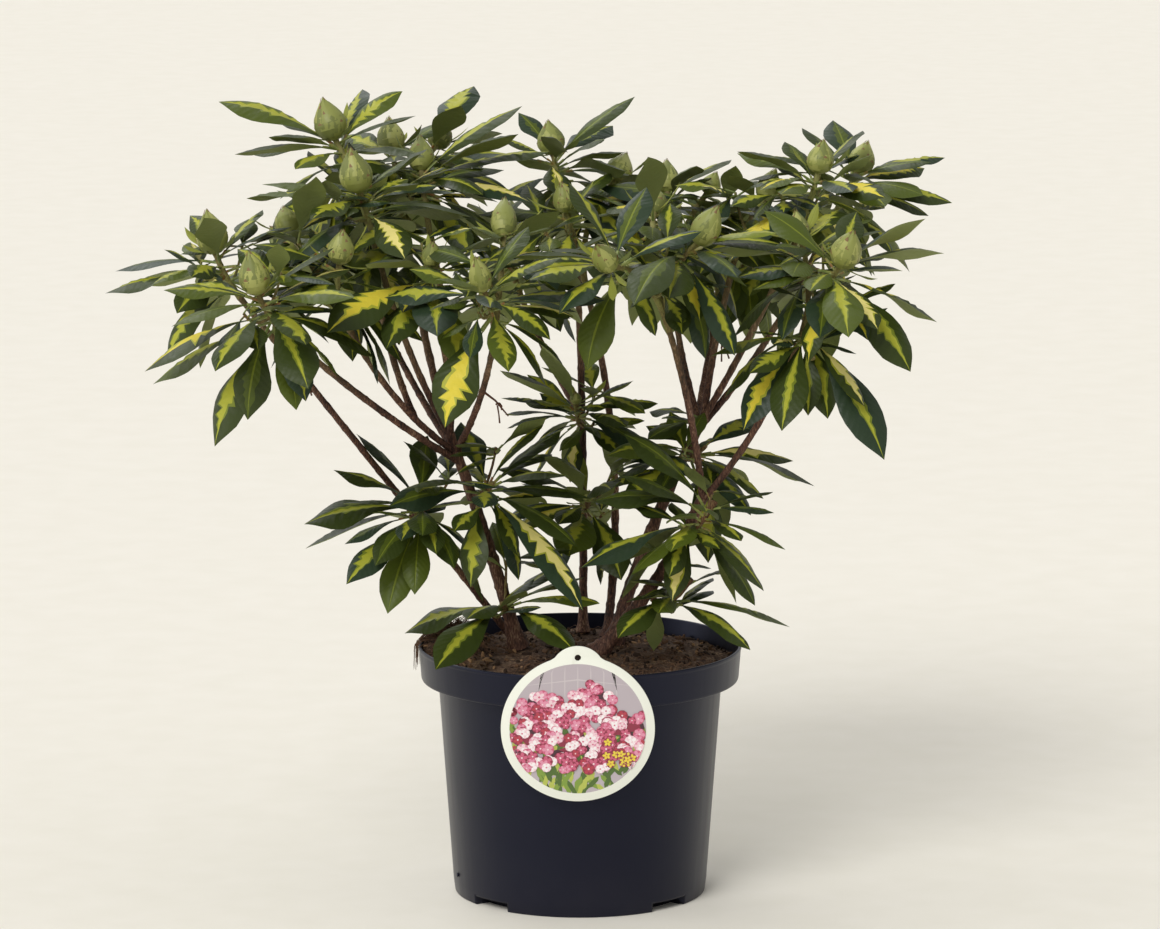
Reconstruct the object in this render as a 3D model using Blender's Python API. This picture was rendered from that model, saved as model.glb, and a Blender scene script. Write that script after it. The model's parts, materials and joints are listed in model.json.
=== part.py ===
"""A budded evergreen shrub with flecked leaves, in a round black nursery pot with a hanging card.

Six stems stand on the soil. They fork into boughs, each bough ends 0.3 mm short of a foliage mass,
and each mass is one solid: green twigs, their flower buds and their leaves, fused together.

Every size is in millimetres until it becomes a mesh. A point is (x, y, z): x to the right seen from
the front, y away from the front, z up from the pot's flat underside.
"""

import math
import random

import bmesh
import bpy
from mathutils import Matrix, Vector
from mathutils.bvhtree import BVHTree

MM = 0.001
CLEAR = 0.3  # open space between two neighbouring pieces
UP = Vector((0, 0, 1))

# Pot, by its outer wall
POT_HEIGHT = 178.0
RIM_RADIUS = 115.0
RIM_EDGE = 1.4  # the rim's rounded upper edge
BASE_RADIUS = 90.0
BASE_EDGE = 1.7
SHOULDER_RADIUS = 101.0  # of the body just under the band
BAND_HEIGHT = 24.0
BAND_FOOT_RADIUS = 112.6
WALL = 2.0
FLOOR = 2.4
POT_SIDES = 36
NOTCH_COUNT = 4
NOTCH_HEIGHT = 6.4
NOTCH_DEPTH = 12.0
NOTCH_ANGLE = math.radians(20.6)
FIRST_NOTCH = math.radians(45)

# Soil
SOIL_LEVEL = 174.0  # flat ground that the stems stand on
SOIL_FLAT_RADIUS = 64.0
SOIL_RINGS = (82.0, 98.0)  # between the flat ground and the wall
SOIL_EDGE_DROP = 8.0
HEAP_PLACE = (-90.0, 8.0)  # fibrous heap against the rim on the left
HEAP_HEIGHT = 21.0
HEAP_SPREAD = 20.0
SOIL_SIDES = 24

# Card that hangs over the front of the rim
CARD_RADIUS = 53.5
CARD_THICK = 1.0
CARD_PLACE = (-1.5, 141.0)  # its centre's x and z
CARD_LEAN = math.radians(7)  # its foot rests nearer the pot
TAB_RADIUS = 19.0
TAB_RISE = 41.5  # from the card's centre to the tab's centre
HOLE_RADIUS = 2.2
HOLE_RISE = 52.0
CARD_SIDES = 36
TAB_SIDES = 20
HOLE_SIDES = 8

# Stems and boughs
ROOT_FLARE = 0.75  # a stem is this share wider at the soil
FLARE_TOP = 0.8  # half its width above the soil, the flare is down to this share
STEM_STEPS = (0, 0.1, 0.26, 0.45, 0.64, 0.83, 0.98, 1)
TRUNK_SIDES = 8
LIMB_SIDES = 6
FORK_SWELL = 1.15  # a stem's top swells by this where it forks
BOUGH_RADII = (2.5, 2.1)
BOUGH_STEPS = (0, 0.02, 0.5, 0.98, 1)
STUB_STEPS = (0, 0.9, 1)
STUB_SPARE = 1.2  # a stub ends where its bough is this far clear of its neighbours

# Twigs and buds
TWIG_RADII = (2.3, 1.9)
TWIG_STEPS = (0, 0.04, 0.5, 1)
TWIG_SIDES = 4
TWIG_COLLAR = 1.35  # the twig swells by this under its bud
TWIG_SUNK = 1.3  # a mass's second and third twig start this much further inside the first
TWIG_THINNER = 0.15  # and are this much thinner
BUD_OUTLINE = ((0.0, 0.4), (0.32, 1.0), (0.7, 0.68))  # how far up, how wide
BUD_SIDES = 5
BUD_SUNK = 2.0
BUD_UPRIGHT = 0.4  # how much of a bud's heading is upright, the rest being its twig's

# Leaves
GOLDEN_ANGLE = math.radians(137.5)
LEAF_LENGTH = 80.0
LEAF_WIDTH = 0.38  # share of its length
LEAF_KEEL = 0.022  # depth under the blade, share of its length
LEAF_STATIONS = ((0.0, 0.06, 0.5), (0.34, 0.94, 1), (0.7, 0.86, 1))  # how far, how wide, how deep
LEAF_WIDEST = 92.0  # a leaf longer than this is no wider than one of this length
WIDTH_SPREAD = (0.9, 1.12)
LEAF_ROLL = 24  # degrees a leaf may be turned about its length, either way
LOWEST_ROOT = 0.2  # no leaf roots lower on its twig than this share of it
FAR_BACK = (6, 12)  # mm under its twig's tip that a far-reaching leaf roots
FAR_DROP = 0.28  # and this share of its fall further down
FAR_STRAY = 2.5  # mm that each later try may move its tip
FAR_ARCH = (0.05, 0.1)  # share of its length that it bows up
WHORL_UPRIGHT = 0.6  # how much of a whorl's axis is upright, the rest being its twig's
WHORL_TURN = 0.3  # radians a leaf may stand off its place in the whorl
RETRY_TURN = 0.4  # radians that each later try turns it further
WHORL_RISE = 20  # degrees above level of the youngest leaf
WHORL_FALL = 72  # how much less the oldest rises
RISE_SPREAD = 9
RETRY_FALL = 3
WHORL_BACK = 5  # mm under its twig's tip that the youngest leaf roots
WHORL_DEPTH = 28  # how much lower the oldest roots
SHORT_TWIG = 48  # a twig shorter than this has its whorl closer
RETRY_SHORTER = 0.05
LEAF_TRIES = 8
TEST_MARGIN = 0.5  # a leaf is tried for room this much fatter all round
STEEP = 0.25  # sine of the angle to the vertical under which a leaf's own heading says nothing


def shoot(tip, leaves=7, bud=(30, 10), reaching=(), lengths=1.0):
    """A twig's tip, where its bud sits, how many leaves it carries, and the far tips of others."""
    return dict(tip=tip, leaves=leaves, bud=bud, reaching=reaching, lengths=lengths)


STEMS = {
    "trunk_left": dict(foot=(-44, 8), top=(-92, -14, 332), bow=(2, 0, 0), radii=(4.7, 3.5)),
    "stem_left_thin": dict(foot=(-47, 30), top=(-236, -62, 436), bow=(2, 0, -2), radii=(2.6, 2.1)),
    "stem_middle_front": dict(foot=(19, 42), top=(6, 112, 412), bow=(12, 0, 0), radii=(3.1, 2.2)),
    "stem_middle_back": dict(foot=(2, 62), top=(-2, 60, 436), bow=(2, 10, 0), radii=(3.1, 2.2)),
    "trunk_right": dict(foot=(12, -16), top=(86, -36, 290), bow=(4, 0, -4), radii=(5.0, 3.6)),
    "trunk_right_back": dict(foot=(24, 24), top=(88, 20, 338), bow=(-5, 0, 0), radii=(4.8, 3.5)),
}

BOUGHS = {
    "bough_left_front": dict(on="trunk_left", at=0.87, end=(-202, -132, 422), bow=(0, 0, -5)),
    "bough_left_inner": dict(on="trunk_left", at=0.91, end=(-159, -72, 414), bow=(-3, 0, -7)),
    "bough_left_top": dict(on="bough_left_inner", at=0.36, end=(-145, 30, 444), bow=(-4, 0, -2)),
    "bough_left_crest": dict(on="trunk_left", at=0.97, end=(-142, -32, 465), bow=(-5, 0, 0)),
    "bough_left_rear": dict(
        on="trunk_left", at=1.0, end=(-121, 62, 444), bow=(-2, 0, 0), radii=(2.9, 2.4)
    ),
    "bough_left_upright": dict(on="trunk_left", at=1.0, end=(-104, 30, 457), bow=(4, 2, 0)),
    "bough_left_near": dict(on="trunk_left", at=0.99, end=(-99, -60, 421), bow=(3, -2, 0)),
    "bough_centre_left": dict(on="trunk_left", at=0.92, end=(-60, -110, 408), bow=(3, -2, -2)),
    "bough_centre_right": dict(on="trunk_right", at=1.0, end=(62, -74, 414), bow=(3, 0, 0)),
    "bough_right_front": dict(on="trunk_right", at=0.97, end=(152, -64, 406), bow=(4, 0, -5)),
    "bough_right_inner": dict(on="trunk_right_back", at=0.97, end=(67, 64, 422), bow=(-3, 0, 0)),
    "bough_right_upright": dict(on="trunk_right_back", at=1.0, end=(110, 50, 446), bow=(-2, 0, 0)),
    "bough_right_crest": dict(on="trunk_right_back", at=1.0, end=(146, 24, 449), bow=(0, -3, -3)),
    "bough_right_rear": dict(on="trunk_right_back", at=0.95, end=(170, 66, 453), bow=(4, 2, -5)),
    "bough_back_left": dict(on="trunk_left", at=0.9, end=(-150, 104, 408), bow=(0, 4, -6)),
    "bough_back_middle": dict(on="stem_middle_back", at=0.6, end=(-42, 160, 402), bow=(0, 4, -6)),
    "bough_back_right": dict(on="trunk_right_back", at=0.9, end=(100, 142, 402), bow=(0, 6, -6)),
}
CROWN = {
    "foliage_far_left": dict(
        on="stem_left_thin",
        shoots=[
            shoot(
                (-253, -64, 469),
                bud=(32, 11),
                reaching=[
                    (-329, -70, 440),
                    (-293, -110, 449),
                    (-276, -118, 433),
                    (-273, -20, 488),
                    (-222, -20, 492),
                ],
            )
        ],
    ),
    "foliage_left_front": dict(
        on="bough_left_front",
        shoots=[
            shoot(
                (-219, -150, 453),
                leaves=8,
                bud=(32, 10.5),
                reaching=[
                    (-295, -165, 400),
                    (-292, -132, 386),
                    (-274, -200, 436),
                    (-244, -215, 408),
                    (-212, -225, 412),
                    (-249, -150, 346),
                    (-183, -215, 426),
                ],
            )
        ],
    ),
    "foliage_left_inner": dict(
        on="bough_left_inner",
        shoots=[
            shoot((-165, -98, 467), leaves=6, bud=(26, 9)),
            shoot((-203, -22, 476), leaves=5, bud=(26, 9)),
        ],
    ),
    "foliage_left_top": dict(
        on="bough_left_top",
        shoots=[
            shoot(
                (-175, 60, 534),
                bud=(32, 11.5),
                reaching=[
                    (-258, 72, 558),
                    (-219, 104, 550),
                    (-220, 24, 538),
                    (-157, 118, 562),
                    (-128, 74, 562),
                ],
            )
        ],
    ),
    "foliage_left_crest": dict(
        on="bough_left_crest",
        shoots=[
            shoot(
                (-154, -40, 509),
                leaves=8,
                bud=(33, 11.5),
                reaching=[
                    (-231, -60, 505),
                    (-184, -105, 496),
                    (-200, -98, 462),
                    (-120, -100, 468),
                ],
            )
        ],
    ),
    "foliage_left_rear": dict(
        on="bough_left_rear",
        shoots=[
            shoot((-136, 120, 518), leaves=5, bud=(28, 10)),
            shoot((-104, 150, 518), leaves=5, bud=(24, 9), reaching=[(-78, 206, 555)]),
        ],
    ),
    "foliage_left_upright": dict(
        on="bough_left_upright",
        shoots=[
            shoot(
                (-113, 58, 512),
                bud=(27, 9.5),
                reaching=[(-41, 62, 556), (-46, 18, 546), (-24, 44, 524), (-68, -2, 500)],
            )
        ],
    ),
    "foliage_left_near": dict(
        on="bough_left_near",
        shoots=[
            shoot(
                (-102, -92, 464),
                leaves=5,
                bud=(22, 7),
                reaching=[
                    (-172, -148, 424),
                    (-48, -142, 408),
                    (-50, -160, 452),
                    (-98, -172, 424),
                    (-132, -142, 412),
                ],
            )
        ],
    ),
    "foliage_centre_left": dict(
        on="bough_centre_left",
        shoots=[
            shoot(
                (-66, -150, 455),
                leaves=6,
                bud=(28, 7.5),
                reaching=[(-48, -192, 404), (-12, -165, 478), (-96, -200, 468), (-20, -180, 424)],
            ),
            shoot((-53, -58, 480), leaves=7, bud=(33, 9)),
        ],
    ),
    "foliage_middle_rear": dict(
        on="stem_middle_front",
        shoots=[
            shoot(
                (-20, 140, 514),
                leaves=6,
                bud=(26, 10),
                reaching=[(40, 152, 553), (-44, 172, 541), (-60, 120, 526), (18, 100, 528)],
            ),
            shoot((26, 172, 490), leaves=5, bud=(26, 10), reaching=[(66, 192, 503)]),
        ],
    ),
    "foliage_middle": dict(
        on="stem_middle_back",
        shoots=[shoot((-10, 46, 484), leaves=7, bud=(24, 8))],
    ),
    "foliage_centre_right": dict(
        on="bough_centre_right",
        shoots=[
            shoot(
                (20, -150, 470),
                leaves=6,
                bud=(31, 8.5),
                reaching=[(-32, -190, 470), (-14, -196, 444), (-52, -140, 476)],
            ),
            shoot((52, 6, 487), leaves=5, bud=(26, 9)),
            shoot(
                (82, -110, 482),
                leaves=5,
                bud=(33, 10),
                reaching=[(134, -130, 490), (60, -180, 452), (46, -205, 446), (106, -176, 466)],
            ),
        ],
    ),
    "foliage_right_front": dict(
        on="bough_right_front",
        shoots=[
            shoot(
                (180, -100, 465),
                leaves=5,
                bud=(32, 10.5),
                reaching=[
                    (245, -112, 426),
                    (208, -150, 428),
                    (190, -172, 418),
                    (164, -160, 420),
                    (238, -84, 494),
                    (252, -70, 468),
                    (118, -124, 450),
                ],
            ),
            shoot((153, -54, 477), leaves=5, bud=(22, 7)),
            shoot(
                (160, -92, 398),
                leaves=3,
                bud=None,
                reaching=[
                    (209, -122, 332),
                    (116, -122, 392),
                    (138, -134, 354),
                    (178, -112, 358),
                    (90, -84, 398),
                ],
            ),
        ],
    ),
    "foliage_right_inner": dict(
        on="bough_right_inner",
        shoots=[
            shoot((63, 110, 490), leaves=6, bud=(26, 9)),
            shoot((92, 84, 492), leaves=5, bud=(18, 7)),
        ],
    ),
    "foliage_right_upright": dict(
        on="bough_right_upright",
        shoots=[
            shoot(
                (132, 72, 489),
                leaves=6,
                bud=(26, 8.5),
                reaching=[(106, 30, 510), (84, 36, 494)],
            )
        ],
    ),
    "foliage_right_crest": dict(
        on="bough_right_crest",
        shoots=[
            shoot(
                (169, 28, 514),
                bud=(25, 9.5),
                reaching=[(111, 30, 527), (146, 66, 530), (126, -22, 506)],
            )
        ],
    ),
    "foliage_right_rear": dict(
        on="bough_right_rear",
        shoots=[
            shoot(
                (200, 92, 506),
                leaves=7,
                bud=(26, 9.5),
                reaching=[
                    (263, 104, 514),
                    (266, 66, 486),
                    (250, 132, 503),
                    (216, 22, 489),
                    (184, 150, 536),
                ],
            )
        ],
    ),
    "foliage_back_left": dict(
        on="bough_back_left",
        shoots=[
            shoot((-206, 104, 446), leaves=5),
            shoot((-142, 176, 452), leaves=6),
        ],
    ),
    "foliage_back_middle": dict(
        on="bough_back_middle",
        shoots=[shoot((-52, 206, 446), leaves=7)],
    ),
    "foliage_back_right": dict(
        on="bough_back_right",
        shoots=[
            shoot((72, 204, 440), leaves=5),
            shoot((144, 182, 446), leaves=6),
        ],
    ),
}

SIDE_SHOOTS = {
    "foliage_side_left": dict(
        on="stem_left_thin",
        at=0.38,
        shoots=[
            shoot(
                (-114, -38, 290),
                leaves=3,
                bud=None,
                reaching=[
                    (-166, -58, 290),
                    (-194, -40, 272),
                    (-163, -76, 236),
                    (-135, -56, 211),
                    (-100, -80, 258),
                    (-158, -12, 332),
                ],
            )
        ],
    ),
    "foliage_fork_left": dict(
        on="trunk_left",
        at=0.72,
        shoots=[
            shoot(
                (-62, -34, 300),
                leaves=3,
                bud=None,
                reaching=[
                    (2, -130, 228),
                    (-8, -84, 314),
                    (8, -50, 292),
                    (-26, -22, 340),
                    (-124, -84, 304),
                    (-4, -70, 262),
                    (-20, 30, 310),
                ],
            )
        ],
    ),
    "foliage_foot_left": dict(
        on="trunk_left",
        at=0.2,
        shoots=[
            shoot(
                (-55, -14, 210),
                leaves=2,
                bud=None,
                reaching=[
                    (-125, -2, 186),
                    (-100, -118, 184),
                    (-80, -70, 200),
                    (-4, -74, 188),
                    (14, -44, 216),
                ],
            )
        ],
    ),
    "foliage_middle_low": dict(
        on="stem_middle_back",
        at=0.58,
        shoots=[
            shoot(
                (-3, 44, 346),
                leaves=6,
                bud=(10, 4),
                lengths=0.8,
                reaching=[
                    (-57, 20, 372),
                    (38, 24, 364),
                    (-26, 10, 392),
                    (-52, 22, 330),
                    (33, -8, 336),
                    (56, 58, 342),
                ],
            )
        ],
    ),
    "foliage_middle_foot": dict(
        on="stem_middle_back",
        at=0.34,
        shoots=[
            shoot(
                (6, 40, 276),
                leaves=5,
                bud=(10, 4),
                lengths=0.85,
                reaching=[
                    (-60, 6, 306),
                    (-8, -24, 246),
                    (22, -36, 296),
                    (-54, 36, 262),
                    (60, 16, 300),
                    (-30, -30, 318),
                ],
            )
        ],
    ),
    "foliage_fork_right": dict(
        on="trunk_right_back",
        at=0.84,
        shoots=[
            shoot(
                (88, -2, 322),
                leaves=3,
                bud=None,
                reaching=[(165, -34, 298), (120, -44, 279), (18, -26, 318), (56, 38, 320)],
            )
        ],
    ),
    "foliage_side_right": dict(
        on="trunk_right",
        at=0.86,
        shoots=[
            shoot(
                (94, -62, 292),
                leaves=2,
                bud=None,
                reaching=[
                    (143, -84, 262),
                    (127, -116, 239),
                    (122, -82, 222),
                    (136, -34, 294),
                    (8, -64, 292),
                    (24, -96, 318),
                    (0, -100, 252),
                    (30, -60, 340),
                    (46, -104, 258),
                ],
            )
        ],
    ),
    "foliage_foot_right": dict(
        on="trunk_right",
        at=0.42,
        shoots=[
            shoot(
                (78, -34, 232),
                leaves=3,
                bud=None,
                lengths=0.85,
                reaching=[(148, -44, 199), (119, -80, 190), (44, -84, 228), (56, 20, 228)],
            )
        ],
    ),
}


# Centrelines


class Arc:
    """A centreline from start to end, pulled towards control, with a radius at either end."""

    def __init__(self, start, control, end, radii):
        self.start, self.control, self.end = Vector(start), Vector(control), Vector(end)
        self.radii = radii
        steps = 24
        self.length = sum(
            (self.at((i + 1) / steps) - self.at(i / steps)).length for i in range(steps)
        )

    def at(self, share):
        rest = 1 - share
        return self.start * rest**2 + self.control * (2 * share * rest) + self.end * share**2

    def heading(self, share):
        step = (self.control - self.start) * (1 - share) + (self.end - self.control) * share
        return step.normalized()

    def radius(self, share):
        return self.radii[0] + (self.radii[1] - self.radii[0]) * share

    def samples(self, count):
        return [(self.at(i / count), self.radius(i / count)) for i in range(count + 1)]


def bowed(start, end, bow, radii):
    """An arc whose middle is pushed aside by bow."""
    start, end = Vector(start), Vector(end)
    return Arc(start, (start + end) / 2 + 2 * Vector(bow), end, radii)


def square_to(heading):
    """Two directions square to heading and to each other."""
    side = heading.orthogonal().normalized()
    return side, heading.cross(side).normalized()


# Blender objects


def material(name, colour, roughness):
    made = bpy.data.materials.new(name)
    made.use_nodes = True
    shader = made.node_tree.nodes["Principled BSDF"]
    shader.inputs["Base Color"].default_value = (*colour, 1)
    shader.inputs["Roughness"].default_value = roughness
    shader.inputs["Metallic"].default_value = 0
    return made


def object_of(name, shape):
    """An object from a bmesh in millimetres, its faces turned outward."""
    bmesh.ops.recalc_face_normals(shape, faces=shape.faces)
    bmesh.ops.scale(shape, vec=(MM, MM, MM), verts=shape.verts)
    data = bpy.data.meshes.new(name)
    shape.to_mesh(data)
    shape.free()
    made = bpy.data.objects.new(name, data)
    bpy.context.scene.collection.objects.link(made)
    return made


def finished(made, finish, sharp_degrees=40):
    """Gives an object its material, and shades its round faces smooth."""
    made.data.materials.clear()
    made.data.materials.append(finish)
    made.data.shade_smooth()
    made.data.set_sharp_from_angle(angle=math.radians(sharp_degrees))
    return made


def in_millimetres(made):
    """An object's points and faces, for the test of room."""
    bpy.context.view_layer.update()
    points = [made.matrix_world @ vertex.co / MM for vertex in made.data.vertices]
    return points, [tuple(face.vertices) for face in made.data.polygons]


def apply_modifiers(made):
    """Replaces an object's mesh by the one that its modifiers make."""
    bpy.context.view_layer.update()
    graph = bpy.context.evaluated_depsgraph_get()
    whole = bpy.data.meshes.new_from_object(made.evaluated_get(graph))
    made.modifiers.clear()
    made.data = whole
    whole.name = made.name


def combine(target, tool, operation):
    """Joins a tool to target, or cuts target with it, by one Boolean."""
    boolean = target.modifiers.new(operation.lower(), "BOOLEAN")
    boolean.operation = operation
    boolean.object = tool
    boolean.solver = "EXACT"
    apply_modifiers(target)
    bpy.data.objects.remove(tool)


def keep_largest(data):
    """Drops loose scraps, and the shell of any hollow sealed inside, which fills it."""
    shape = bmesh.new()
    shape.from_mesh(data)
    left = set(shape.faces)
    shells = []
    while left:
        shell, border = set(), [left.pop()]
        while border:
            face = border.pop()
            shell.add(face)
            touching = {other for edge in face.edges for other in edge.link_faces} & left
            left -= touching
            border.extend(touching)
        shells.append(shell)
    shells.sort(key=len)
    scraps = [face for shell in shells[:-1] for face in shell]
    bmesh.ops.delete(shape, geom=scraps, context="FACES")
    shape.to_mesh(data)
    shape.free()


def fused(name, pieces):
    """One object from pieces that run into each other, by one Boolean union on a collection."""
    whole = pieces[0]
    whole.name = name
    if len(pieces) > 1:
        others = bpy.data.collections.new(name)
        bpy.context.scene.collection.children.link(others)
        for piece in pieces[1:]:
            bpy.context.scene.collection.objects.unlink(piece)
            others.objects.link(piece)
        union = whole.modifiers.new("union", "BOOLEAN")
        union.operation = "UNION"
        union.operand_type = "COLLECTION"
        union.collection = others
        union.solver = "EXACT"
        apply_modifiers(whole)
        for piece in pieces[1:]:
            bpy.data.objects.remove(piece)
        bpy.data.collections.remove(others)
        keep_largest(whole.data)
    return whole


def turned(name, outline, sides, angle=math.tau, start=0.0):
    """A solid turned about z from an outline of (radius, height), closed if it makes a full turn."""
    shape = bmesh.new()
    corners = [
        shape.verts.new((radius * math.cos(start), radius * math.sin(start), height))
        for radius, height in outline
    ]
    whole_turn = angle == math.tau
    if whole_turn:
        geometry = [shape.edges.new(pair) for pair in zip(corners, corners[1:])]
    else:
        geometry = [shape.faces.new(corners)]
    bmesh.ops.spin(
        shape,
        geom=corners + geometry,
        cent=(0, 0, 0),
        axis=UP,
        angle=angle,
        steps=sides,
        use_merge=whole_turn,
    )
    bmesh.ops.remove_doubles(shape, verts=shape.verts, dist=0.001)
    return object_of(name, shape)


def rod(name, samples, sides=LIMB_SIDES):
    """A round rod through samples of (point, radius), as a bevelled curve made a mesh."""
    curve = bpy.data.curves.new(name, "CURVE")
    curve.dimensions = "3D"
    curve.bevel_depth = 1
    curve.bevel_resolution = sides // 2 - 2
    curve.use_fill_caps = True
    line = curve.splines.new("POLY")
    line.points.add(len(samples) - 1)
    for knot, (point, radius) in zip(line.points, samples):
        knot.co = (*point, 1)
        knot.radius = radius
    drawn = bpy.data.objects.new(name, curve)
    bpy.context.scene.collection.objects.link(drawn)
    bpy.context.view_layer.update()
    graph = bpy.context.evaluated_depsgraph_get()
    shape = bmesh.new()
    shape.from_mesh(bpy.data.meshes.new_from_object(drawn.evaluated_get(graph)))
    bmesh.ops.remove_doubles(shape, verts=shape.verts, dist=0.001)
    bpy.data.objects.remove(drawn)
    return object_of(name, shape)


# Pot, soil and card


def make_pot():
    band_foot = POT_HEIGHT - BAND_HEIGHT
    outline = [
        (0, 0),
        (BASE_RADIUS - BASE_EDGE, 0),
        (BASE_RADIUS, BASE_EDGE),
        (SHOULDER_RADIUS, band_foot),
        (BAND_FOOT_RADIUS, band_foot),
        (RIM_RADIUS, POT_HEIGHT - RIM_EDGE),
        (RIM_RADIUS - RIM_EDGE / 2, POT_HEIGHT),
        (RIM_RADIUS - WALL, POT_HEIGHT),
        (BAND_FOOT_RADIUS - WALL, band_foot + WALL),
        (SHOULDER_RADIUS - WALL, band_foot + WALL),
        (BASE_RADIUS - WALL, FLOOR),
        (0, FLOOR),
    ]
    pot = turned("pot", outline, POT_SIDES)
    notch_floor = BASE_RADIUS - NOTCH_DEPTH
    pocket_angle = NOTCH_ANGLE + 2 * WALL / BASE_RADIUS
    for i in range(NOTCH_COUNT):
        middle = FIRST_NOTCH + math.tau * i / NOTCH_COUNT
        pocket = turned(
            "pocket",
            rectangle(notch_floor - WALL, BASE_RADIUS - WALL / 2, FLOOR / 2, NOTCH_HEIGHT + WALL),
            6,
            pocket_angle,
            middle - pocket_angle / 2,
        )
        combine(pot, pocket, "UNION")
        notch = turned(
            "notch",
            rectangle(notch_floor, BASE_RADIUS + NOTCH_DEPTH, -FLOOR, NOTCH_HEIGHT),
            5,
            NOTCH_ANGLE,
            middle - NOTCH_ANGLE / 2,
        )
        combine(pot, notch, "DIFFERENCE")
    return pot


def rectangle(inner, outer, bottom, top):
    return [(inner, bottom), (outer, bottom), (outer, top), (inner, top)]


def soil_height(x, y):
    """Flat in the middle, lower towards the wall, heaped against the rim on the left."""
    slope = (math.hypot(x, y) - SOIL_FLAT_RADIUS) / (BAND_FOOT_RADIUS - SOIL_FLAT_RADIUS)
    slope = max(0.0, slope)
    apart = math.hypot(x - HEAP_PLACE[0], y - HEAP_PLACE[1]) / HEAP_SPREAD
    heap = HEAP_HEIGHT * math.exp(-(apart**2) / 2) * min(1.0, 2.5 * slope)
    return SOIL_LEVEL - SOIL_EDGE_DROP * slope**1.5 + heap


def make_soil():
    """Fills the pot, 0.3 mm clear of its walls and of the blocks over its notches."""
    shelf = POT_HEIGHT - BAND_HEIGHT + WALL + CLEAR
    pocket_top = NOTCH_HEIGHT + WALL + CLEAR
    pocket_inside = BASE_RADIUS - NOTCH_DEPTH - WALL - 2 * CLEAR
    inset = WALL + 2 * CLEAR
    outline = [
        (0, FLOOR + CLEAR),
        (pocket_inside, FLOOR + CLEAR),
        (pocket_inside, pocket_top),
        (BASE_RADIUS - inset, pocket_top),
        (SHOULDER_RADIUS - inset, shelf),
        (BAND_FOOT_RADIUS - inset, shelf),
        (BAND_FOOT_RADIUS - inset, SOIL_LEVEL),
        *((radius, SOIL_LEVEL) for radius in reversed(SOIL_RINGS)),
        (SOIL_FLAT_RADIUS, SOIL_LEVEL),
        (0, SOIL_LEVEL),
    ]
    soil = turned("soil", outline, SOIL_SIDES)
    for vertex in soil.data.vertices:
        x, y, z = vertex.co / MM
        if z > shelf + 1:
            vertex.co.z = soil_height(x, y) * MM
    return soil


def disc(name, radius, rise, thick, sides):
    """A round plate standing upright, its centre rise above the card's centre."""
    shape = bmesh.new()
    upright = Matrix.Translation((0, 0, rise)) @ Matrix.Rotation(math.radians(90), 4, "X")
    bmesh.ops.create_cone(
        shape,
        cap_ends=True,
        segments=sides,
        radius1=radius,
        radius2=radius,
        depth=thick,
        matrix=upright,
    )
    return object_of(name, shape)


def make_card():
    """A round card with a tab and a hole. It leans on the pot's band."""
    card = disc("plant_label", CARD_RADIUS, 0, CARD_THICK, CARD_SIDES)
    combine(card, disc("tab", TAB_RADIUS, TAB_RISE, CARD_THICK, TAB_SIDES), "UNION")
    combine(card, disc("punch", HOLE_RADIUS, HOLE_RISE, 6 * CARD_THICK, HOLE_SIDES), "DIFFERENCE")
    band_foot_rise = POT_HEIGHT - BAND_HEIGHT - CARD_PLACE[1]
    back = BAND_FOOT_RADIUS + 2 * CLEAR - band_foot_rise * math.tan(CARD_LEAN)
    card.rotation_euler.x = CARD_LEAN
    card.location = Vector((CARD_PLACE[0], -back - CARD_THICK / 2, CARD_PLACE[1])) * MM
    return card


# Stems, boughs and twigs


def limb_arcs():
    """Every stem's and bough's centreline by name."""
    arcs = {}
    for name, stem in STEMS.items():
        foot = (*stem["foot"], SOIL_LEVEL + CLEAR)
        arcs[name] = bowed(foot, stem["top"], stem["bow"], stem["radii"])
    for name, bough in BOUGHS.items():
        fork = arcs[bough["on"]].at(bough["at"])
        arcs[name] = bowed(fork, bough["end"], bough["bow"], bough.get("radii", BOUGH_RADII))
    return arcs


def stem_under(name):
    """The stem that a limb grows from in the end."""
    while name in BOUGHS:
        name = BOUGHS[name]["on"]
    return name


def stub_share(name, arcs):
    """How far along a bough it comes clear of every other limb on its stem."""
    steps = 60
    own = arcs[name].samples(steps)
    last = 0
    for other, arc in arcs.items():
        if other == name or stem_under(other) != stem_under(name):
            continue
        for there, other_radius in arc.samples(steps):
            for step, (here, radius) in enumerate(own[: steps // 2]):
                if (there - here).length < radius + other_radius + STUB_SPARE:
                    last = max(last, step)
    return (last + 1.5) / steps


def stem_samples(arc):
    """Along a stem: upright and flared at the soil, which cuts it level, then its own taper."""
    samples = [(arc.at(step), arc.radius(step)) for step in STEM_STEPS]
    foot, radius = samples[0]
    wide = radius * (1 + ROOT_FLARE)
    samples[0] = (foot, wide)
    samples.insert(1, (foot + UP * wide / 2, wide * FLARE_TOP))
    return samples


def part_of(arc, near, far, steps):
    """Samples of an arc from near to far, at steps between the two. A short first or last step
    squares the rod's end to the arc."""
    shares = [near + (far - near) * step for step in steps]
    return [(arc.at(share), arc.radius(share)) for share in shares]


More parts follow.
